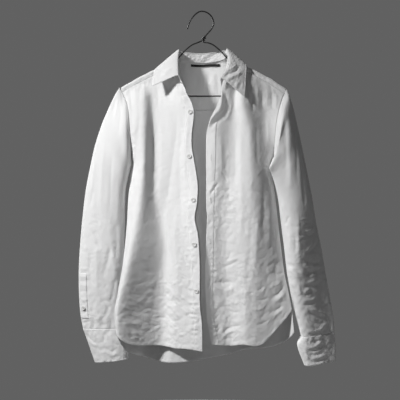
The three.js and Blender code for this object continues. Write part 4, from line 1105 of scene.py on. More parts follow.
# %% [markdown]
# ## The left front
#
# The left front is cut like the right one, but its top edge rolls over like a small
# lapel: the edge turns to the light, and a deep fold behind it stays dark. The two rows
# at the head of the list make that roll. The other creases again follow the real cloth.

# %% Creases of the left front
LEFT_FRONT_CREASES = [
    # the rolled edge under the collar
    (4.2, 5, (46, 190), (45, 222), (40, 240), (30, 252), (20, 266), (13, 286)),
    (-3.2, 5, (56, 190), (56, 226), (50, 248), (38, 262), (26, 276), (18, 292)),
    (2.0, 6, (70, 200), (69, 232), (60, 258), (46, 274)),
    # long soft folds from the shoulder down
    (1.5, 8, (94, 240), (92, 320), (92, 400), (94, 480), (95, 570)),
    (-1.2, 6, (80, 290), (78, 380), (76, 440)),
    (1.2, 5, (43, 300), (46, 350), (46, 410)),
    (-1.3, 7, (118, 470), (114, 560), (108, 640), (104, 700)),
    (1.3, 7, (133, 480), (128, 560), (124, 640)),
    (1.2, 7, (104, 640), (102, 700), (106, 765)),
    (-0.9, 5, (30, 320), (29, 400), (31, 470)),
    # gathers under the shoulder seam
    (1.2, 4, (109, 165), (109, 200), (112, 240)),
    (-1.7, 3.2, (121, 192), (120, 222), (122, 254)),
    (1.2, 4, (133, 174), (133, 208), (134, 248)),
    (-1.7, 3.2, (146, 190), (145, 215), (147, 240)),
    (1.2, 4, (157, 182), (156, 206), (156, 238)),
    (-1.3, 3.5, (169, 186), (168, 212), (168, 242)),
    (1.1, 3.5, (98, 158), (98, 185), (98, 215)),
    (-1.0, 3.5, (87, 160), (87, 190), (85, 225)),
    (1.3, 4, (179, 195), (178, 216), (177, 240)),
    # under the arm
    (-1.6, 6, (128, 270), (130, 330), (133, 390)),
    (1.5, 6, (158, 255), (158, 300), (160, 330)),
    (-1.8, 5, (152, 372), (160, 392), (168, 418)),
    (-1.4, 6, (144, 400), (146, 470), (142, 540)),
    (1.2, 6, (160, 440), (160, 520), (157, 590)),
    (-1.4, 5, (170, 470), (174, 540), (176, 600)),
    # across the middle
    (-1.3, 3, (43, 409), (31, 424), (18, 448)),
    (1.1, 3.4, (37, 406), (25, 422), (13, 441)),
    (-1.2, 3, (41, 387), (54, 399), (61, 419)),
    (-1.1, 3, (69, 424), (62, 432), (54, 439)),
    (-1.0, 2.8, (59, 444), (67, 446), (76, 449)),
    (0.8, 2.6, (48, 455), (62, 458), (78, 455)),
    (-0.8, 2.6, (50, 464), (64, 467), (82, 463)),
    (0.8, 2.6, (46, 474), (62, 478), (80, 474)),
    (-0.9, 2.6, (52, 484), (66, 487), (82, 484)),
    (0.7, 2.6, (48, 496), (62, 498), (80, 497)),
    (-0.8, 2.6, (50, 508), (66, 511), (80, 507)),
    (-1.1, 3, (69, 574), (66, 586), (59, 602)),
    (-1.4, 3.2, (92, 598), (74, 605), (60, 612), (44, 616)),
    (1.1, 3.2, (90, 590), (72, 597), (56, 604)),
    (-1.9, 6, (26, 646), (50, 652), (80, 649)),
    (1.6, 6, (28, 664), (52, 669), (84, 665)),
    (1.0, 4, (36, 545), (52, 552), (68, 549)),
    (-1.0, 3.4, (80, 632), (100, 640), (122, 636)),
    # down towards the hem
    (-2.2, 3, (45, 774), (62, 762), (80, 755), (97, 752)),
    (1.8, 3, (46, 784), (64, 771), (86, 764)),
    (-1.1, 2.8, (34, 771), (40, 764), (46, 757)),
    (-1.6, 7, (30, 705), (36, 740), (44, 782)),
    (1.0, 4, (58, 690), (76, 700), (96, 698)),
    (-1.2, 4, (52, 714), (74, 722), (98, 716)),
    (1.0, 4, (60, 738), (82, 744), (104, 738)),
    (-2.2, 4, (163, 687), (180, 679), (190, 668), (195, 653)),
    (2.2, 6, (170, 698), (186, 688), (199, 674)),
    (-1.4, 3.6, (124, 690), (142, 692), (161, 687)),
    (-1.8, 4, (158, 722), (178, 716), (196, 704)),
    (1.4, 4, (150, 733), (172, 729), (192, 717)),
    (-1.1, 3.4, (120, 752), (142, 748), (162, 738)),
    (-3.0, 9, (174, 592), (176, 620), (178, 645)),
    (1.3, 4, (112, 712), (134, 714), (152, 706)),
    (1.6, 5, (160, 655), (174, 660), (190, 648)),
    # on the strip
    (-1.3, 3, (24, 633), (15, 650), (7, 667)),
    (1.1, 3, (26, 643), (18, 658), (10, 676)),
    (-0.9, 2.6, (24, 505), (16, 512), (8, 515)),
    (0.8, 2.6, (25, 700), (16, 706), (8, 704)),
]
LEFT_FRONT_CREASES += crumples(21, 70, (18, 125, 610, 795), 10, 55, (12, 38), (1.6, 3), (0.35, 1.0))
LEFT_FRONT_CREASES += crumples(22, 56, (120, 205, 600, 780), -35, 45, (12, 38), (1.6, 3.2), (0.25, 0.75))
LEFT_FRONT_CREASES += crumples(23, 64, (14, 170, 300, 620), 80, 40, (16, 50), (2.6, 4.6), (0.2, 0.6))

# %% Left front
LEFT_WORN = [
    (0.9, 60, 720, 80, 110), (0.55, 165, 690, 60, 90), (0.7, 55, 470, 50, 90),
    (0.5, 160, 480, 40, 160), (0.4, 110, 560, 90, 160), (0.5, 140, 215, 60, 60),
]
LEFT_PULLED = [(0.5, 20, 470, 60, 70), (0.5, 20, 640, 60, 60), (0.6, 20, 760, 60, 60)]
base = panel(LEFT_FRONT_FOLDS, u[::-1], v, shoulder_seam, curve(LEFT_FRONT_HEM, "x", "drop"))
height = worn_cloth(base, LEFT_FRONT_CREASES, LEFT_WORN, (-0.2, 0.3), 22, 0.6, 24)
height += pulled_seam(base, -LEFT_STRIP - 1, 0.3, LEFT_PULLED, 15, 28)
height += puckers(run_down(base), base[..., 0], 6, 0.9, 26, 29) + hem_ripple(base, 30)
left_front_grid = lifted(base, height * edge_fade(base, side=0))
left_front = cotton_piece("left_front", left_front_grid, hem_thickness(left_front_grid))
print("creases:", len(LEFT_FRONT_CREASES))

# %% [markdown]
# ## The strips down the front
#
# The edges of a shirt front are stiffened by a strip, about 25 mm wide. It could be drawn
# as a piece of its own, but then it would have to repeat every crease under it. A window
# of the front's own grid, moved out by its thickness, follows them all and can never come
# away from the cloth that it is sewn to. Its outer face dips along the seam, because the
# stitches press it thin there.

# %% Strips
STRIP_TOP = int(FRONT_ROWS * 4 / 29)


def laid(grid, rows, columns, seam, side=1, wraps=False):
    """A window of a surface, moved out so that it lies on it, and its thickness: the cloth is
    pressed thin near its seam column."""
    away = run_across(grid, seam)
    thickness = STRIP_CLOTH - PRESSED * smooth(1 - away / PRESSED_WIDE)
    window = lifted(grid, ON_CLOTH - (STRIP_CLOTH - thickness) / 2, wraps, side)
    return window[rows, columns], thickness[rows, columns]


down = slice(STRIP_TOP, None)
right_strip_grid, thickness = laid(right_front_grid, down, slice(0, RIGHT_STRIP + 1), RIGHT_STRIP)
button_placket = cotton_piece("button_placket", right_strip_grid, thickness)
left_strip_grid, thickness = laid(left_front_grid, down, slice(-LEFT_STRIP - 1, None), -LEFT_STRIP - 1)
buttonhole_placket = cotton_piece("buttonhole_placket", left_strip_grid, thickness)

# %% [markdown]
# ## Back and yoke
#
# The back hangs from the yoke in four flutes and ends in a tail that is longer than the
# fronts, so its inside shows under their hems and between them. It gets fewer rows than
# a front, but its creases are of the same kind, so that the shirt looks worn all round.

# %% Back
BACK_COLUMNS, BACK_ROWS = 160, 196
BACK_CREASES = [
    (1.6, 9, (-128, 250), (-126, 340), (-134, 430), (-142, 520)),
    (-1.5, 8, (-84, 245), (-82, 320), (-88, 410)),
    (1.4, 8, (-36, 250), (-38, 330), (-42, 420), (-40, 520)),
    (-1.4, 8, (6, 245), (8, 330), (4, 420)),
    (1.5, 9, (50, 260), (54, 350), (58, 460)),
    (-1.6, 8, (94, 250), (98, 340), (106, 430)),
    (1.4, 8, (136, 260), (134, 350), (142, 450)),
    (-1.8, 5, (-160, 640), (-132, 656), (-100, 650)),
    (1.6, 5, (-150, 700), (-120, 712), (-86, 704)),
    (-1.7, 5, (-96, 760), (-64, 772), (-30, 764)),
    (1.5, 5, (-60, 690), (-28, 700), (6, 690)),
    (-1.6, 5, (-20, 735), (14, 746), (48, 738)),
    (1.6, 5, (40, 660), (74, 672), (104, 662)),
    (-1.7, 5, (90, 700), (124, 708), (156, 694)),
    (1.6, 5, (110, 752), (142, 756), (172, 742)),
    (-1.5, 4, (-186, 560), (-170, 576), (-150, 580)),
    (1.5, 4, (160, 560), (176, 570), (188, 566)),
    (-1.4, 4, (-30, 600), (-6, 612), (22, 606)),
]
BACK_CREASES += crumples(31, 90, (-190, 190, 560, 840), 12, 36, (16, 44), (2.8, 4.6), (0.4, 1.1))
BACK_CREASES += crumples(32, 60, (-170, 170, 245, 560), 80, 30, (24, 60), (3, 5), (0.25, 0.7))
u = np.linspace(1 - EDGE, EDGE, BACK_COLUMNS + 1)
v = np.linspace(0.0004, 1, BACK_ROWS + 1)
base = panel(BACK_FOLDS, u, v, lambda x: np.full_like(x, YOKE_SEAM_DROP), curve(BACK_HEM, "x", "drop"))
x, drop = base[..., 0], -base[..., 2]
worn = patches(x, drop, [(0.9, 0, 760, 220, 140), (0.35, 0, 480, 220, 260)])
height = crease_height(x, drop, BACK_CREASES)
height += worn * (2.0 * crinkles(x + 0.2 * drop, drop, 26, 33) + 0.6 * uneven(x, drop, 13, 34))
height += 0.5 * uneven(x, 0.25 * drop, 17, 35) + puckers(run_down(base), x, 7, 0.9, 26, 36)
height += hem_ripple(base, 37)
back_grid = lifted(base, height * edge_fade(base, side=0) * smooth(run_across(base, -1) / 9))
back = cotton_piece("back", back_grid, hem_thickness(back_grid))
print("creases:", len(BACK_CREASES))

# %% [markdown]
# The yoke rounds the wire, so most of its rows are spent on the bend. Inside the neck it
# shows soft upright folds, because nothing fills the shirt there. On the outside the wire
# presses a rounded ridge into it, and both of its seams pucker.

# %% Yoke
YOKE_COLUMNS = 250
YOKE_CREASES = [
    (1.4, 6, (-14, 136), (-13, 175), (-16, 224)),
    (-1.7, 6, (2, 132), (3, 175), (0, 226)),
    (1.5, 5, (16, 134), (15, 178), (18, 222)),
    (-1.2, 4.5, (27, 136), (27, 176), (29, 220)),
    (1.2, 4.5, (38, 132), (39, 170), (42, 216)),
    (-1.0, 5, (-30, 140), (-31, 180), (-34, 220)),
    (-1.2, 4, (-70, 150), (-72, 185), (-76, 222)),
    (1.2, 5, (-104, 168), (-106, 195), (-110, 226)),
    (-1.2, 4, (-140, 180), (-138, 200), (-140, 224)),
    (1.2, 5, (72, 150), (74, 185), (78, 222)),
    (-1.2, 4, (112, 170), (112, 195), (114, 224)),
    (1.2, 5, (146, 182), (144, 202), (146, 226)),
]
YOKE_CREASES += crumples(41, 40, (-180, 185, 130, 228), 80, 30, (14, 34), (2.4, 4), (0.3, 0.7))
front_rows = np.linspace(0, YOKE_FRONT, 5)
bend_rows = np.linspace(YOKE_FRONT, YOKE_BEND, 27)[1:]
behind_rows = np.linspace(YOKE_BEND, 1, 50)[1:]
v = np.concatenate([front_rows, bend_rows, behind_rows])
base = yoke(np.linspace(0, 1, YOKE_COLUMNS + 1), v)
x, drop = base[..., 0], -base[..., 2]
height = crease_height(x, drop, YOKE_CREASES) * (base[..., 1] > 0)
height += 0.5 * uneven(x, 0.3 * drop, 12, 42) + 0.8 * crinkles(x, drop, 24, 43) * smooth(base[..., 1] / 8)
height += puckers(run_down(base, -1), x, 7, 0.9, 26, 44) + puckers(run_down(base), x, 6, 0.6, 14, 45)
fade = edge_fade(base, top=5) * smooth(run_down(base, -1) / 6)
fade *= smooth(run_across(base) / 6) * smooth(run_across(base, -1) / 6)
yoke_grid = lifted(base, np.maximum(height * fade, -0.7))
yoke_piece = cotton_piece("yoke", yoke_grid, CLOTH)

# %% [markdown]
# ## Sleeves
#
# An empty sleeve hangs flat, with one face to the front and one behind. On the front face
# the creases are listed one by one: upright soft ones on the upper arm, and short ones that
# cross the forearm, where an elbow has pushed the cloth up. The face behind gets seeded
# crumples of the same sizes. Both fade at the two long folds between the faces, and the
# last rows are drawn inside the cuff, because a sleeve is sewn in between its two layers.

# %% Creases of the sleeves
RIGHT_SLEEVE_CREASES = [
    (-1.0, 3.5, (-206, 204), (-211, 225), (-216, 250)),
    (1.0, 3.5, (-199, 200), (-205, 235), (-211, 275)),
    (-0.9, 4, (-192, 225), (-196, 265), (-200, 310)),
    (1.2, 6, (-233, 300), (-240, 400), (-245, 500)),
    (-1.2, 5, (-214, 330), (-219, 430), (-222, 520)),
    (1.2, 6, (-199, 400), (-202, 470), (-206, 540)),
    (-1.3, 4, (-275, 395), (-280, 440), (-286, 485)),
    (-1.2, 4, (-262, 425), (-265, 450), (-269, 475)),
    (1.0, 4, (-256, 350), (-262, 400), (-268, 450)),
    (-2.0, 4.5, (-260, 525), (-252, 548), (-242, 575)),
    (2.0, 8, (-251, 545), (-253, 620), (-252, 705)),
    (-2.0, 5, (-214, 555), (-224, 592), (-236, 645)),
    (-2.0, 7, (-205, 495), (-204, 550), (-206, 605)),
    (1.6, 5, (-222, 530), (-214, 580), (-210, 640)),
    (-1.6, 4, (-224, 716), (-230, 730), (-237, 744)),
    (-1.5, 4, (-241, 688), (-230, 706), (-221, 726)),
    (1.6, 4, (-263, 702), (-252, 725), (-243, 752)),
    (-1.4, 4, (-204, 636), (-211, 668), (-221, 694)),
    (1.5, 4, (-199, 688), (-206, 715), (-212, 748)),
    (-1.3, 4, (-268, 585), (-270, 625), (-266, 668)),
    (1.3, 4, (-238, 655), (-230, 680), (-216, 700)),
    (1.0, 3, (-284, 560), (-276, 580), (-270, 602)),
    (-1.2, 3.5, (-196, 610), (-200, 640), (-198, 672)),
    # wrinkles across the slit's strip
    (1.0, 2.4, (-298, 619), (-284, 621), (-268, 618)),
    (-1.0, 2.4, (-298, 630), (-284, 631), (-270, 628)),
    (1.0, 2.4, (-298, 641), (-284, 640), (-268, 643)),
    (-1.1, 2.4, (-298, 651), (-284, 651), (-268, 648)),
    (1.0, 2.4, (-298, 662), (-286, 661), (-270, 665)),
    (-1.0, 2.6, (-298, 677), (-284, 675), (-270, 679)),
    (1.1, 2.6, (-298, 694), (-284, 696), (-266, 692)),
    (-1.0, 2.4, (-297, 725), (-284, 727), (-268, 724)),
    (1.0, 2.4, (-295, 738), (-282, 737), (-266, 741)),
    (-1.1, 2.4, (-293, 749), (-280, 750), (-264, 747)),
    # pleats that run into the cuff
    (1.6, 2.6, (-272, 730), (-270, 750), (-268, 768)),
    (-1.6, 2.6, (-262, 728), (-261, 750), (-260, 768)),
    (1.5, 3.0, (-252, 735), (-250, 752), (-250, 768)),
    (-1.5, 2.6, (-241, 738), (-240, 754), (-239, 768)),
    (1.5, 3.0, (-230, 732), (-229, 750), (-230, 768)),
    (-1.6, 2.6, (-219, 735), (-218, 752), (-219, 768)),
    (1.4, 2.8, (-208, 738), (-208, 754), (-208, 768)),
]
LEFT_SLEEVE_CREASES = [
    # the flat bright face and the fold beside it
    (2.2, 8, (203, 215), (204, 280), (206, 340), (209, 400), (207, 455)),
    (-2.0, 7, (215, 235), (223, 300), (226, 380), (228, 440)),
    (1.5, 6, (184, 235), (182, 300), (180, 350)),
    (-1.1, 5, (196, 255), (198, 330), (199, 395)),
    (-1.3, 5, (178, 425), (181, 470), (184, 510)),
    (1.4, 4, (194, 460), (193, 480), (190, 505)),
    (-1.8, 3, (208, 490), (203, 502), (199, 516)),
    (2.2, 7, (206, 520), (209, 560), (207, 600)),
    (-1.6, 4, (219, 530), (222, 560), (219, 590)),
    (1.6, 5, (229, 480), (228, 540), (230, 600)),
    (-1.2, 3, (212, 512), (222, 520), (230, 516)),
    (1.2, 3, (215, 545), (224, 552), (232, 548)),
    # wrinkles that the elbow has pushed up
    (1.9, 3.2, (246, 532), (260, 526), (274, 517)),
    (-1.8, 3, (250, 545), (262, 540), (277, 530)),
    (2.2, 3, (245, 579), (258, 568), (274, 552)),
    (-2.0, 3.4, (254, 587), (267, 573), (281, 560)),
    (1.6, 3, (279, 593), (285, 583), (291, 573)),
    (-1.5, 4, (240, 600), (262, 606), (292, 604)),
    (1.8, 3.4, (238, 612), (262, 616), (294, 614)),
    (-1.7, 3.5, (242, 624), (266, 628), (290, 626)),
    (2.6, 5, (203, 617), (218, 628), (235, 645)),
    (-2.2, 4, (199, 610), (216, 612), (233, 627)),
    (-2.2, 4, (247, 637), (256, 632), (265, 625)),
    (1.8, 4, (250, 648), (263, 651), (278, 646)),
    (-1.6, 4, (240, 660), (262, 662), (292, 656)),
    (2.3, 3, (241, 677), (250, 671), (259, 663)),
    (-2.2, 3, (243, 685), (252, 679), (263, 671)),
    (1.6, 3, (238, 692), (257, 694), (278, 690)),
    (-1.4, 3, (240, 701), (256, 703), (274, 700)),
    (2.4, 3, (246, 709), (262, 716), (281, 724), (305, 734)),
    (-2.2, 4, (248, 720), (264, 728), (285, 737), (303, 744)),
    (1.5, 3, (240, 742), (256, 750), (268, 760)),
    (-1.6, 3.5, (270, 745), (284, 752), (297, 747)),
    (2.4, 3, (244, 762), (262, 770), (284, 765), (301, 752)),
    (-1.8, 3.5, (250, 772), (268, 778), (290, 772)),
    (1.7, 4, (223, 715), (225, 726), (228, 738)),
    (1.5, 4, (206, 640), (211, 670), (215, 700)),
    (-1.5, 4, (218, 655), (224, 680), (232, 700)),
    (1.4, 4, (228, 650), (232, 672), (238, 686)),
    (1.3, 4, (292, 620), (296, 660), (300, 700)),
    (-1.3, 4, (280, 640), (284, 680), (290, 712)),
    (-1.2, 4, (276, 480), (279, 530), (284, 580)),
    (1.2, 4, (246, 380), (250, 430), (254, 490)),
    (-1.2, 4, (236, 360), (241, 420), (246, 480)),
]
LEFT_SLEEVE_CREASES += crumples(51, 60, (236, 312, 500, 770), -14, 30, (14, 40), (1.7, 3.0), (0.35, 1.0))
LEFT_SLEEVE_CREASES += crumples(52, 22, (200, 240, 600, 770), 20, 40, (10, 26), (1.8, 3), (0.3, 0.8))
RIGHT_SLEEVE_CREASES += crumples(53, 36, (-295, -195, 560, 760), 60, 40, (12, 34), (2.2, 3.6), (0.35, 0.9))

# %% A sleeve with its two creased faces
SLEEVE_COLUMNS, SLEEVE_ROWS = 112, 262
TUCK_IN, TUCK_DOWN = 1.0, (1.5, 5)


def creased_sleeve(base, side, creases, worn, seed):
    """The tube moved out by its creases: the list on the front face, seeded ones behind, all
    faded by the sine of the turn, and puckers at the armhole and above the cuff."""
    x, drop = base[..., 0], -base[..., 2]
    turn = np.arange(base.shape[1]) / base.shape[1]
    around = np.broadcast_to(np.sin(2 * np.pi * turn), x.shape)
    face = smooth(3 * np.abs(around))
    box = (x.min() + 20, x.max() - 20, 260, 750)
    behind = crumples(seed, 80, box, -10 * side, 40, (16, 44), (2.6, 4.2), (0.5, 1.4))
    rough = patches(x, drop, worn)
    height = np.where(around > 0, crease_height(x, drop, creases), crease_height(x, drop, behind))
    height += rough * 1.5 * crinkles(x + np.sign(around) * 900, drop + 0.3 * x, 19, seed + 1)
    height += 0.5 * uneven(x + np.sign(around) * 400, 0.3 * drop, 14, seed + 2)
    height += 0.6 * puckers(run_down(base), x, 7, 1.0, 30, seed + 3)
    height += 1.2 * puckers(run_down(base, -1), x, 8, 1.0, 34, seed + 4)
    grid = lifted(base, height * face * smooth(run_down(base) / 8), wraps=True, side=side)
    down = unit(grid[-1] - grid[-3])
    inward = -side * normals(grid, wraps=True)[-1] * TUCK_IN
    return np.concatenate([grid] + [(grid[-1] + inward + down * step)[None] for step in TUCK_DOWN])


# %% Sleeves
turn = np.arange(SLEEVE_COLUMNS) / SLEEVE_COLUMNS
v = np.linspace(0, 1, SLEEVE_ROWS + 1)
base = sleeve(RIGHT_SLEEVE, RIGHT_SIDE, UNDERARM["right"], turn, v)
right_worn = [(0.8, -240, 720, 80, 90), (0.5, -240, 560, 80, 120), (0.2, -225, 330, 80, 160)]
right_sleeve_grid = creased_sleeve(base, -1, RIGHT_SLEEVE_CREASES, right_worn, 60)
base = sleeve(LEFT_SLEEVE, LEFT_SIDE, UNDERARM["left"], turn, v)
left_worn = [(0.75, 265, 650, 80, 150), (0.25, 210, 380, 80, 160)]
left_sleeve_grid = creased_sleeve(base, 1, LEFT_SLEEVE_CREASES, left_worn, 70)
right_sleeve = cotton_piece("right_sleeve", right_sleeve_grid, CLOTH, wraps=True)
left_sleeve = cotton_piece("left_sleeve", left_sleeve_grid, CLOTH, wraps=True)

# %% [markdown]
# The slit above a cuff is bound by a narrow strip. Only the right one shows, and it is a
# window of the sleeve's grid, as the front strips are windows of theirs.

# %% The strip at the right sleeve's slit
SLIT_ROWS, SLIT_COLUMNS = slice(212, 253), slice(6, 18)
slit_grid, thickness = laid(right_sleeve_grid, SLIT_ROWS, SLIT_COLUMNS, 17, side=-1, wraps=True)
right_sleeve_placket = cotton_piece("right_sleeve_placket", slit_grid, thickness)

# %% [markdown]
# ## Cuffs
#
# A cuff is a doubled band, stiffer than the sleeve, so its wrinkles are fewer and wider.
# The seam that joins it to the sleeve and the one along its lower edge both pucker.

# %% Creases of the cuffs
RIGHT_CUFF_CREASES = [
    (-1.8, 4, (-287, 774), (-268, 793), (-252, 801)),
    (1.6, 4, (-280, 786), (-264, 802), (-246, 806)),
    (-1.6, 3.5, (-248, 818), (-232, 811), (-218, 819), (-200, 809)),
    (1.4, 3.5, (-250, 826), (-232, 821), (-216, 828), (-196, 820)),
    (1.3, 4, (-262, 776), (-258, 788), (-262, 802)),
    (-1.2, 3.5, (-236, 772), (-234, 786), (-238, 800)),
    (1.2, 4, (-222, 774), (-218, 788), (-214, 800)),
    (-1.2, 3, (-268, 812), (-262, 826), (-256, 840)),
    (1.2, 3, (-242, 830), (-238, 838), (-236, 846)),
    (-1.2, 3, (-222, 832), (-219, 840), (-216, 846)),
]
LEFT_CUFF_CREASES = [
    (2.2, 3, (242, 797), (258, 808), (276, 802), (302, 786)),
    (-2.0, 3.5, (246, 808), (264, 816), (284, 810), (306, 796)),
    (-1.8, 4, (244, 786), (262, 795), (280, 792), (300, 778)),
    (1.6, 3, (256, 782), (258, 790), (256, 800)),
    (-1.5, 3, (266, 782), (269, 790), (268, 798)),
    (1.6, 3, (278, 784), (281, 792), (280, 800)),
    (-1.5, 3, (288, 784), (291, 792), (292, 800)),
    (2.0, 3, (243, 812), (250, 826), (256, 838)),
    (-1.8, 3.4, (250, 822), (270, 826), (300, 820)),
    (1.6, 3.4, (254, 832), (272, 834), (300, 828)),
    (-1.6, 3, (254, 840), (274, 843), (304, 836)),
    (1.4, 3, (258, 848), (276, 849), (300, 844)),
    (1.5, 3, (296, 808), (303, 798), (312, 790)),
    (-1.2, 3, (306, 820), (312, 812), (318, 806)),
]

# %% Cuffs
CUFF_COLUMNS, CUFF_ROWS = 132, 36
u = np.linspace(0, 1, CUFF_COLUMNS + 1)
v = np.linspace(0, 1, CUFF_ROWS + 1)


def creased_cuff(rings, side, creases, seed):
    """The band moved out by its creases on the front face and by puckers at both edges."""
    base = cuff(rings, u, v)
    x, drop = base[..., 0], -base[..., 2]
    around = np.broadcast_to(np.sin(2 * np.pi * (CUFF_START + u * (1 + CUFF_LAP))), x.shape)
    height = np.where(around > 0, crease_height(x, drop, creases), 0)
    height += 1.3 * crinkles(x + 500 * np.sign(around), drop, 19, seed)
    height += 1.1 * puckers(run_down(base), x, 6, 1.0, 16, seed + 1)
    height += 1.1 * puckers(run_down(base, -1), x, 5.5, 1.0, 14, seed + 2)
    lap = smooth(run_across(base) / 16) * smooth(run_across(base, -1) / 16)
    return lifted(base, height * smooth(3 * np.abs(around)) * lap, side=side)


right_cuff_grid = creased_cuff(RIGHT_CUFF, -1, RIGHT_CUFF_CREASES, 80)
left_cuff_grid = creased_cuff(LEFT_CUFF, 1, LEFT_CUFF_CREASES, 84)
right_cuff = cotton_piece("right_cuff", right_cuff_grid, DOUBLED)
left_cuff = cotton_piece("left_cuff", left_cuff_grid, DOUBLED)

# %% [markdown]
# ## Collar
#
# The two sides of this collar differ: the right leaf lies smooth, the left one is crushed
# and folded. Both share one surface, so the difference is only in where creases lie.

# %% Collar
STAND_CREASES = [
    (1.6, 3, (22, 120), (34, 108), (42, 118)),
    (-1.6, 3, (28, 126), (38, 116), (46, 124)),
    (-1.4, 3, (-16, 112), (0, 118), (16, 112)),
    (1.4, 3, (-20, 118), (-4, 125), (14, 120)),
    (-1.3, 3, (-38, 112), (-34, 122), (-36, 132)),
    (1.3, 3, (-30, 110), (-27, 120), (-29, 130)),
]
LEAF_CREASES = [
    (-2.6, 3.6, (50, 168), (64, 156), (80, 149), (93, 132)),
    (2.2, 3.6, (52, 176), (68, 165), (85, 157), (97, 142)),
    (1.2, 3, (62, 146), (74, 140), (84, 130)),
    (-1.1, 2.4, (66, 200), (72, 186), (80, 172)),
    (1.1, 2.4, (73, 202), (80, 188), (88, 172)),
    (-1.1, 2.4, (82, 204), (88, 190), (95, 174)),
    (-1.0, 2.4, (58, 188), (64, 178), (72, 170)),
    (1.2, 5, (-70, 140), (-82, 150), (-92, 164)),
    (-0.9, 5, (-92, 140), (-98, 152), (-104, 170)),
]
s = np.linspace(0, 1, 261)


def creased_collar(base, creases, rough, size, seed):
    """A collar surface moved by its creases, with crinkles of a strength at each place and a
    size, and the side on which its normals look away from the neck's middle."""
    x, drop = base[..., 0], -base[..., 2]
    side = np.sign((normals(base)[..., 2]).mean())
    height = crease_height(x, drop, creases)
    height += rough * crinkles(x + drop, drop - x + base[..., 1], size, seed)
    ends = smooth(run_across(base) / 8) * smooth(run_across(base, -1) / 8)
    return lifted(base, height * ends * smooth(run_down(base) / 5), side=side), side


base = collar_stand(s, np.linspace(0, 1, 19))
rough = 1.3 + 0.6 * smooth(base[..., 1] / 10)
stand_grid, _ = creased_collar(base, STAND_CREASES, rough, 13, 90)
base = collar_leaf(s, np.linspace(0, 1, 41))
rough = 0.25 + 0.85 * smooth((base[..., 0] - 48) / 20)
leaf_grid, leaf_side = creased_collar(base, LEAF_CREASES, rough, 8, 91)
EDGE_STITCH = 5.5              # the stitches' distance from the leaf's edge
GROOVE, GROOVE_WIDE = 0.7, 1.5    # how deep and how wide they press it in
groove = np.exp(-(((run_down(leaf_grid, -1) - EDGE_STITCH) / GROOVE_WIDE) ** 2))
leaf_grid = lifted(leaf_grid, -GROOVE * groove, side=leaf_side)
collar_stand_piece = cotton_piece("collar_stand", stand_grid, DOUBLED)
collar_leaf_piece = cotton_piece("collar_leaf", leaf_grid, DOUBLED)

# %% [markdown]
# ## The blank label
#
# A narrow black strip is sewn inside the back of the neck. It carries nothing. Its ends
# are held by stitches, so it bows a little away from the yoke between them.

# %% Label
LABEL_FROM, LABEL_TO, LABEL_TOP, LABEL_HIGH = -27, 44, 122, 6
LABEL_OFF_YOKE, LABEL_BOW = 2.2, 0.7
across, down = np.linspace(0, 1, 73), np.linspace(0, 1, 9)
x = np.broadcast_to(mix(LABEL_FROM, LABEL_TO, across), (len(down), len(across)))
bow = LABEL_BOW * np.sin(np.pi * across) + 0.35 * uneven(x[0], 0 * across, 9, 95)
drop = LABEL_TOP + LABEL_HIGH * down[:, None] + 0.5 * np.sin(2.2 * np.pi * across)
label_grid = points(x, bend_at(x)[0] - LABEL_OFF_YOKE - bow, drop)
neck_label = settle(shell("neck_label_cloth", label_grid, CLOTH, label_cloth), "neck_label")
print("label:", LABEL_TO - LABEL_FROM, "x", LABEL_HIGH, "mm")

# %% [markdown]
# ## The wire hanger
#
# The wire is one length bent in a plane: hook, stem, right arm, bar, left arm, and its end
# wound round the stem. A curve object with a bevel would give a wire as well. A grid of
# circles along the line is used here, because its ends can be rounded and its mesh is
# final. The circles turn as little as they can from one place to the next.

# %% Rods along a line
def line_through(places, samples):
    """A smooth line through 3-D places, evenly spaced, with its knots spaced by the square
    root of the distances so that short steps between long ones do not overshoot."""
    places = np.array(places, float)
    steps = np.sqrt(np.linalg.norm(np.diff(places, axis=0), axis=1))
    knots = np.concatenate([[0], np.cumsum(steps)])
    fine = np.linspace(0, knots[-1], 4000)
    line = np.stack([through(knots, places[:, k], fine) for k in range(3)], axis=-1)
    length = np.concatenate([[0], np.cumsum(np.linalg.norm(np.diff(line, axis=0), axis=1))])
    even = np.linspace(0, length[-1], samples)
    return np.stack([np.interp(even, length, line[:, k]) for k in range(3)], axis=-1)


def ring_part(grid, closed=False):
    """Places, cells and end caps of a tube given as rings. A closed tube has no ends: its last
    ring meets its first."""
    number = np.arange(grid[..., 0].size).reshape(grid.shape[:2])
    caps = [] if closed else [number[0][::-1], number[-1]]
    around = np.concatenate([number, number[:1]]) if closed else number
    cells = corners_of(np.concatenate([around, around[:, :1]], axis=1))
    return grid.reshape(-1, 3), cells, caps


def circle(sides):
    """The cosine and the sine of evenly spaced angles, once round."""
    angle = np.arange(sides) / sides * 2 * np.pi
    return np.cos(angle), np.sin(angle)


def rod_part(line, radius, sides):
    """Circles along a line, shrinking to a point in a half circle at both ends."""
    ahead = unit(np.gradient(line, axis=0))
    reference = np.array([0.0, 1.0, 0.0])
    up = unit(reference - (ahead @ reference)[:, None] * ahead)
    side = np.cross(ahead, up)
    cap = np.linspace(0, np.pi / 2, 6)[1:]
    offsets = np.concatenate([-np.sin(cap[::-1]), np.zeros(len(line)), np.sin(cap)]) * radius
    widths = np.concatenate([np.cos(cap[::-1]), np.ones(len(line)), np.cos(cap)]) * radius
    which = np.concatenate([np.zeros(5, int), np.arange(len(line)), np.full(5, len(line) - 1)])
    widths = np.maximum(widths, 0.02 * radius)
    cosine, sine = (share[None, :, None] for share in circle(sides))
    ring = cosine * up[which][:, None] + sine * side[which][:, None]
    middle = (line[which] + ahead[which] * offsets[:, None])[:, None]
    return ring_part(middle + ring * widths[:, None, None])


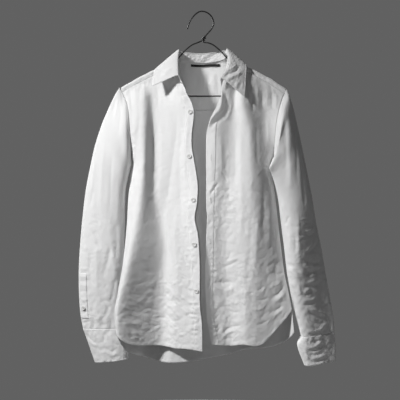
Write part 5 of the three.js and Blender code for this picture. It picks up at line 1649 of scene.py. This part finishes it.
def joined(name, parts, material):
    """One mesh from several closed parts, each given as places, four-cornered faces and caps."""
    places, faces, start = [], [], 0
    for spots, cells, caps in parts:
        places.append(spots)
        faces += (cells + start).tolist() + [(cap + start).tolist() for cap in caps]
        start += len(spots)
    return new_piece(name, np.concatenate(places), faces, material)


# %% The wire
def arm_side(rows, sign):
    """One side's places of a reach and drop table, on the right (-1) or the left (+1)."""
    return [(NECK_X + sign * reach, 0, -drop) for reach, drop in zip(rows["reach"], rows["drop"])]


hook = [(x, 0, -drop) for x, drop in zip(HOOK["x"], HOOK["drop"])]
left_arm = arm_side(ARM, 1)[1:] + arm_side(ARM_END, 1)
right_arm = (arm_side(ARM, -1)[1:] + arm_side(ARM_END, -1))[::-1]
wire_line = line_through([*hook, (4.5, 0, -73), *left_arm, *right_arm], 620)
WIRE_SIDES = 14
WINDINGS, WINDING_LOW, WINDING_HIGH = 2.3, (2, 70.5), (7.5, 59.5)    # turns, and x and drop
share = np.linspace(0, 1, 120)
angle = np.pi + 2 * np.pi * WINDINGS * share
round_stem = 2 * WIRE_RADIUS + 0.05
wound = points(
    mix(WINDING_LOW[0], WINDING_HIGH[0], share) + round_stem * np.cos(angle),
    round_stem * np.sin(angle),
    mix(WINDING_LOW[1], WINDING_HIGH[1], share),
)
winding_line = np.concatenate([[right_arm[-1]], wound])
for name, line in (("hanger_wire", wire_line), ("hanger_winding", winding_line)):
    settle(joined(name, [rod_part(line, WIRE_RADIUS, WIRE_SIDES)], wire_coating), "hanger")
print("wire:", round(float(np.linalg.norm(np.diff(wire_line, axis=0), axis=1).sum())), "mm long")

# %% [markdown]
# ## Buttons
#
# A shirt button is a small dished disc with a rolled rim and four holes, tied on with
# crossed thread. One height function of the distance from the middle gives rim and dish,
# and the holes are four pits in it.

# %% A button and its thread
BUTTON_RADIUS, BUTTON_HEIGHT = 5.3, 2.4
BUTTON_SEAT = 1.3                            # from the cloth's face to the button's middle
HOLE_AT, HOLE_RADIUS, HOLE_DEEP = 1.5, 0.85, 1.1
TIE_RADIUS, TIE_LIFT, TIE_BOW = 0.32, 0.95, 0.35    # the thread that crosses a button


def frame_at(grid, row, column, side=1):
    """Place, outward, across and down directions of a surface at one of its grid points."""
    out = normals(grid)[row, column] * side
    down = unit(grid[min(row + 1, len(grid) - 1), column] - grid[max(row - 1, 0), column])
    return grid[row, column], out, unit(np.cross(down, out)), down


def button_part():
    """Rings from the middle of the face to the rim and round to the back, round the z axis.
    The last four lie behind: the rim's outer edge, then the flat back."""
    behind = np.array([-0.5, -1, -1, -1])
    far = np.concatenate([np.linspace(0.02, 0.8, 26), np.linspace(0.82, 1, 9), [0.99, 0.95, 0.6, 0.02]])
    rim = np.concatenate([np.zeros(len(far) - len(behind)), behind])
    dish = 0.32 + 0.25 * smooth((far - 0.5) / 0.22) - 0.28 * smooth((far - 0.86) / 0.14)
    height = np.where(rim < 0, 0.29 + 0.79 * rim, dish)[:, None] * BUTTON_HEIGHT
    x, y = (far[:, None] * BUTTON_RADIUS * share for share in circle(40))
    for hole in range(4):
        spin = np.pi / 4 + hole * np.pi / 2
        away = np.hypot(x - HOLE_AT * np.cos(spin), y - HOLE_AT * np.sin(spin))
        pit = HOLE_DEEP * smooth((HOLE_RADIUS - away) / 0.35)
        height = height - np.where(rim[:, None] < 0, 0, pit)
    grid = np.stack([x, y, height], axis=-1)
    return ring_part(grid[::-1])


def tie_parts():
    """Two crossed bars of thread from hole to hole."""
    t = np.linspace(-1, 1, 12)
    bow = TIE_LIFT + TIE_BOW * (1 - t**2)
    lines = [np.stack([HOLE_AT * t * np.cos(spin), HOLE_AT * t * np.sin(spin), bow], axis=-1)
             for spin in (np.pi / 4, -np.pi / 4)]
    return [rod_part(line, TIE_RADIUS, 8) for line in lines]


def add_button(name, grid, row, column, cloth, side=1):
    """A button on a surface at one of its grid points, and its thread as a second piece. Both
    are made round the z axis and turned to the outward direction."""
    place, out, across, _ = frame_at(grid, row, column, side)
    place = place + out * (cloth / 2 + BUTTON_SEAT)
    axes = np.stack([across, np.cross(out, across), out])

    def turned(parts):
        return [(spots @ axes + place, faces, caps) for spots, faces, caps in parts]

    settle(joined(name + "_disc", turned([button_part()]), button_shell), name)
    settle(joined(name + "_thread", turned(tie_parts()), thread), None)


def row_at(grid, column, drop):
    """The grid row at which a column comes to a drop."""
    return int(np.abs(-grid[:, column, 2] - drop).argmin())


# %% Buttons in place
BUTTON_DROPS, SLEEVE_BUTTON_DROP = (247, 353, 455, 560, 668), 715
STAND_BUTTON_ROW, STAND_BUTTON_COLUMN = 7, 12
middle = RIGHT_STRIP // 2
for count, drop in enumerate(BUTTON_DROPS, start=1):
    row = row_at(right_strip_grid, middle, drop)
    add_button(f"button_{count}", right_strip_grid, row, middle, STRIP_CLOTH)
add_button("stand_button", stand_grid, STAND_BUTTON_ROW, STAND_BUTTON_COLUMN, DOUBLED, side=-1)
middle = slit_grid.shape[1] // 2
row = row_at(slit_grid, middle, SLEEVE_BUTTON_DROP)
add_button("sleeve_button", slit_grid, row, middle, STRIP_CLOTH, side=-1)
print("buttons:", len(BUTTON_DROPS) + 2)

# %% [markdown]
# ## Stitches and buttonholes
#
# Two rows of stitches hold each strip, and single rows hold the hems, the cuffs and the
# collar. A stitch is too small for a round thread to show, so it is a long diamond with
# eight faces. The row follows the surface at broken grid positions, and the places of all
# its stitches are worked out at once. A buttonhole is a closed loop of thicker thread.

# %% Rows of stitches
STITCH_PITCH, STITCH_HALF, STITCH_WIDE, STITCH_HIGH = 2.7, 1.05, 0.22, 0.2
STITCH_LIFT = 0.05        # how far a stitch's middle lies above the face of the cloth
STITCH_INSET = 0.9        # columns from a strip's edge to its stitches


def on_surface(grid, rows, columns, side=1):
    """Places and outward directions at broken rows and columns: mixed from the four corners."""
    both = np.concatenate([grid, normals(grid) * side], axis=-1)
    rows, columns = np.broadcast_arrays(rows, columns)
    i = np.clip(np.floor(rows).astype(int), 0, grid.shape[0] - 2)
    j = np.clip(np.floor(columns).astype(int), 0, grid.shape[1] - 2)
    s, t = (rows - i)[..., None], (columns - j)[..., None]
    mixed = mix(mix(both[i, j], both[i, j + 1], t), mix(both[i + 1, j], both[i + 1, j + 1], t), s)
    return mixed[..., :3], unit(mixed[..., 3:])


def stitch_row(places, out, lift):
    """Stitches at an even pitch along a line: two tips and four corners round the middle of
    each, lifted off the cloth's middle along the outward direction."""
    run = np.concatenate([[0], np.cumsum(np.linalg.norm(np.diff(places, axis=0), axis=1))])
    even = np.arange(STITCH_PITCH / 2, run[-1], STITCH_PITCH)
    centre = np.stack([np.interp(even, run, places[:, k]) for k in range(3)], axis=-1)
    out = unit(np.stack([np.interp(even, run, out[:, k]) for k in range(3)], axis=-1))
    ahead = unit(np.gradient(centre, axis=0))
    across = unit(np.cross(ahead, out))
    centre = centre + out * lift
    ring = [across * STITCH_WIDE, out * STITCH_HIGH, -across * STITCH_WIDE, -out * STITCH_HIGH]
    corners = [centre - ahead * STITCH_HALF, centre + ahead * STITCH_HALF] + [centre + c for c in ring]
    first = np.arange(len(centre))[:, None] * 6
    faces = []
    for k in range(4):
        here, after = 2 + k, 2 + (k + 1) % 4
        faces += [first + [1, after, here], first + [0, here, after]]
    return np.stack(corners, axis=1).reshape(-1, 3), np.concatenate(faces), []


def above_edge(grid, distance):
    """For each column the broken row that lies a distance above the lower edge."""
    return len(grid) - 1 - distance / run_down(grid, -1)[-2]


def sewn(name, rows):
    """One mesh from several rows of stitches."""
    piece = settle(joined(name, rows, thread), None)
    print(name + ":", len(piece.data.polygons) // 8, "stitches")
    return piece


# %% Stitches on the fronts and the back
def down_strip(grid, column):
    """A row of stitches down a strip at a broken column."""
    return stitch_row(*on_surface(grid, np.arange(len(grid) - 1.0), column),
                      STRIP_CLOTH / 2 + STITCH_LIFT)


def along_hem(grid, distance, lift, side=1):
    """A row of stitches at a distance above the lower edge of a surface."""
    columns = np.arange(grid.shape[1] - 1.0)
    return stitch_row(*on_surface(grid, above_edge(grid, distance)[:-1], columns, side), lift)


HEM_STITCH, HEM_LIFT = 6, 0.62
right_front_stitches = sewn("right_front_stitches", [
    down_strip(right_strip_grid, STITCH_INSET),
    down_strip(right_strip_grid, RIGHT_STRIP - STITCH_INSET),
    along_hem(right_front_grid, HEM_STITCH, HEM_LIFT),
])
left_front_stitches = sewn("left_front_stitches", [
    down_strip(left_strip_grid, STITCH_INSET),
    down_strip(left_strip_grid, LEFT_STRIP - STITCH_INSET),
    along_hem(left_front_grid, HEM_STITCH, HEM_LIFT),
])
back_stitches = sewn("back_stitches", [
    along_hem(back_grid, HEM_STITCH, HEM_LIFT), along_hem(yoke_grid, 2.5, CLOTH / 2 + STITCH_LIFT),
])

# %% Stitches on cuffs and collar
def edge_rows(grid, side, distance):
    """Rows of stitches inside the upper and the lower edge of a doubled band."""
    lift = DOUBLED / 2 + STITCH_LIFT
    return [along_hem(grid, distance, lift, side), along_hem(grid[::-1], distance, lift, -side)]


right_cuff_stitches = sewn("right_cuff_stitches", edge_rows(right_cuff_grid, -1, 4))
left_cuff_stitches = sewn("left_cuff_stitches", edge_rows(left_cuff_grid, 1, 4))
LEAF_LIFT, COLUMN_WIDE = DOUBLED / 2 + STITCH_LIFT, 1.9
leaf_rows = [along_hem(leaf_grid, EDGE_STITCH, LEAF_LIFT, leaf_side)]
rows = np.arange(6, above_edge(leaf_grid, EDGE_STITCH)[0], 1.0)
inset = EDGE_STITCH / COLUMN_WIDE
for column in (inset, leaf_grid.shape[1] - 1 - inset):
    leaf_rows.append(stitch_row(*on_surface(leaf_grid, rows, column, leaf_side), LEAF_LIFT))
collar_stitches = sewn("collar_stitches", leaf_rows)
rows = np.arange(len(slit_grid) - 1.0)
slit_stitches = sewn("slit_stitches", [
    stitch_row(*on_surface(slit_grid, rows, column, side=-1), STRIP_CLOTH / 2 + STITCH_LIFT)
    for column in (0.8, 10.2)
])

# %% Buttonholes
HOLE_HALF_LONG, HOLE_HALF_WIDE, HOLE_THREAD, HOLE_LIFT = 6.5, 1.1, 0.55, 0.1
BUTTONHOLE_DROPS = (250, 355, 455, 552, 660)


def loop_part(line, out, radius, sides):
    """A closed tube round a closed line, its circles between outward and the side direction."""
    ahead = unit(np.roll(line, -1, axis=0) - np.roll(line, 1, axis=0))
    side = unit(np.cross(ahead, out))
    cosine, sine = (share[None, :, None] for share in circle(sides))
    return ring_part(line[:, None] + (cosine * out + sine * side[:, None]) * radius, closed=True)


def buttonhole(grid, row, column):
    """A long loop that lies down the strip: two straight sides joined by half circles."""
    place, out, across, down = frame_at(grid, row, column)
    cosine, sine = circle(40)
    x = HOLE_HALF_WIDE * cosine
    y = HOLE_HALF_WIDE * sine + np.sign(sine) * (HOLE_HALF_LONG - HOLE_HALF_WIDE)
    line = place + out * (STRIP_CLOTH / 2 + HOLE_LIFT) + x[:, None] * across + y[:, None] * down
    return loop_part(line, out, HOLE_THREAD, 8)


middle = LEFT_STRIP // 2
holes = [buttonhole(left_strip_grid, row_at(left_strip_grid, middle, drop), middle)
         for drop in BUTTONHOLE_DROPS]
buttonholes = settle(joined("buttonholes", holes, thread), None)
print("buttonholes:", len(holes))

# %% [markdown]

# %% [markdown]
# ## Floor, light and camera
#
# One lamp high up on the left gives the long soft shadows that show every fold. It is a
# spot with a wide soft rim, so the light fades towards the collar and the hem. A weak fill
# and a dim sky keep the shadows from going black. A spot drawn together to a narrow
# upright oval lights the inside of the shirt through its opening, as light that comes
# through thin cloth would. One more lamp stands behind, for views of the back. The camera
# stands straight in front, two metres away, and looks level.

# %% Floor
FLOOR_DROP, FLOOR_RADIUS = 1300, 1500
cosine, sine = circle(64)
rim = points(FLOOR_RADIUS * cosine, FLOOR_RADIUS * sine, FLOOR_DROP)
floor_finish = solid_finish("floor_finish", grey(0.5), grey(0.54), (0.8, 0.9), 0.5, 0.0001)
floor = new_piece("floor", rim, [list(range(len(rim)))], floor_finish)

# %% Lamps
SHIRT_MIDDLE = np.array([-0.05, 0, -0.5])
TO_LIGHT = np.array([-0.64, -0.53, 0.56])
KEY_AWAY, KEY_LOW = 2.6, 0.14    # its distance, and how far below the middle it points
GAP = np.array([0.012, 0, -0.41])
SKY_SEEN, SKY_FELT = 0.12, 0.045


def lamp(name, kind, place, power, facing=SHIRT_MIDDLE, **settings):
    """A lamp at a place in metres that faces the middle of the shirt, or another point."""
    light = bpy.data.lights.new(name, kind)
    light.energy = power
    for setting, value in settings.items():
        setattr(light, setting, value)
    made = bpy.data.objects.new(name, light)
    bpy.context.scene.collection.objects.link(made)
    made.location = place
    made.rotation_euler = Vector(facing - place).to_track_quat("-Z", "Y").to_euler()
    return made


lamp("key", "SPOT", SHIRT_MIDDLE + TO_LIGHT * KEY_AWAY, 300, facing=SHIRT_MIDDLE - [0, 0, KEY_LOW],
     spot_size=math.radians(38), spot_blend=1.0, shadow_soft_size=0.16)
lamp("fill", "AREA", np.array([1.2, -2.4, -0.2]), 3, size=1.5)
narrow = lamp("narrow", "SPOT", GAP + np.array([-0.06, -2.2, 0]), 46, facing=GAP,
              spot_size=math.radians(26), spot_blend=1.0, shadow_soft_size=0.05)
narrow.scale = (0.16, 1, 1)
lamp("behind", "AREA", np.array([-2.0, 2.3, 0.5]), 60, size=1.2)

# %% Sky and view
world = bpy.data.worlds.new("studio")
bpy.context.scene.world = world
world.use_nodes = True
tree = world.node_tree
seen, felt = tree.nodes["Background"], node(tree, "ShaderNodeBackground")
feed(tree, seen, {"Color": (*grey(SKY_SEEN), 1)})
feed(tree, felt, {"Color": (*grey(SKY_FELT), 1)})
ray = node(tree, "ShaderNodeLightPath").outputs["Is Camera Ray"]
choose = node(tree, "ShaderNodeMixShader", {0: ray, 1: felt.outputs[0], 2: seen.outputs[0]})
feed(tree, tree.nodes["World Output"], {"Surface": choose.outputs[0]})
bpy.context.scene.view_settings.view_transform = "Standard"

# %% Camera
CAMERA_BACK, FRAME_WIDE = 2.0, 0.968
CAMERA_X, CAMERA_Z = -0.0048, -0.455
camera = bpy.data.cameras.new("camera")
camera.sensor_width = 36
camera.lens = camera.sensor_width * CAMERA_BACK / FRAME_WIDE
viewer = bpy.data.objects.new("camera", camera)
bpy.context.scene.collection.objects.link(viewer)
viewer.location = (CAMERA_X, -CAMERA_BACK, CAMERA_Z)
viewer.rotation_euler = (math.pi / 2, 0, 0)
bpy.context.scene.camera = viewer
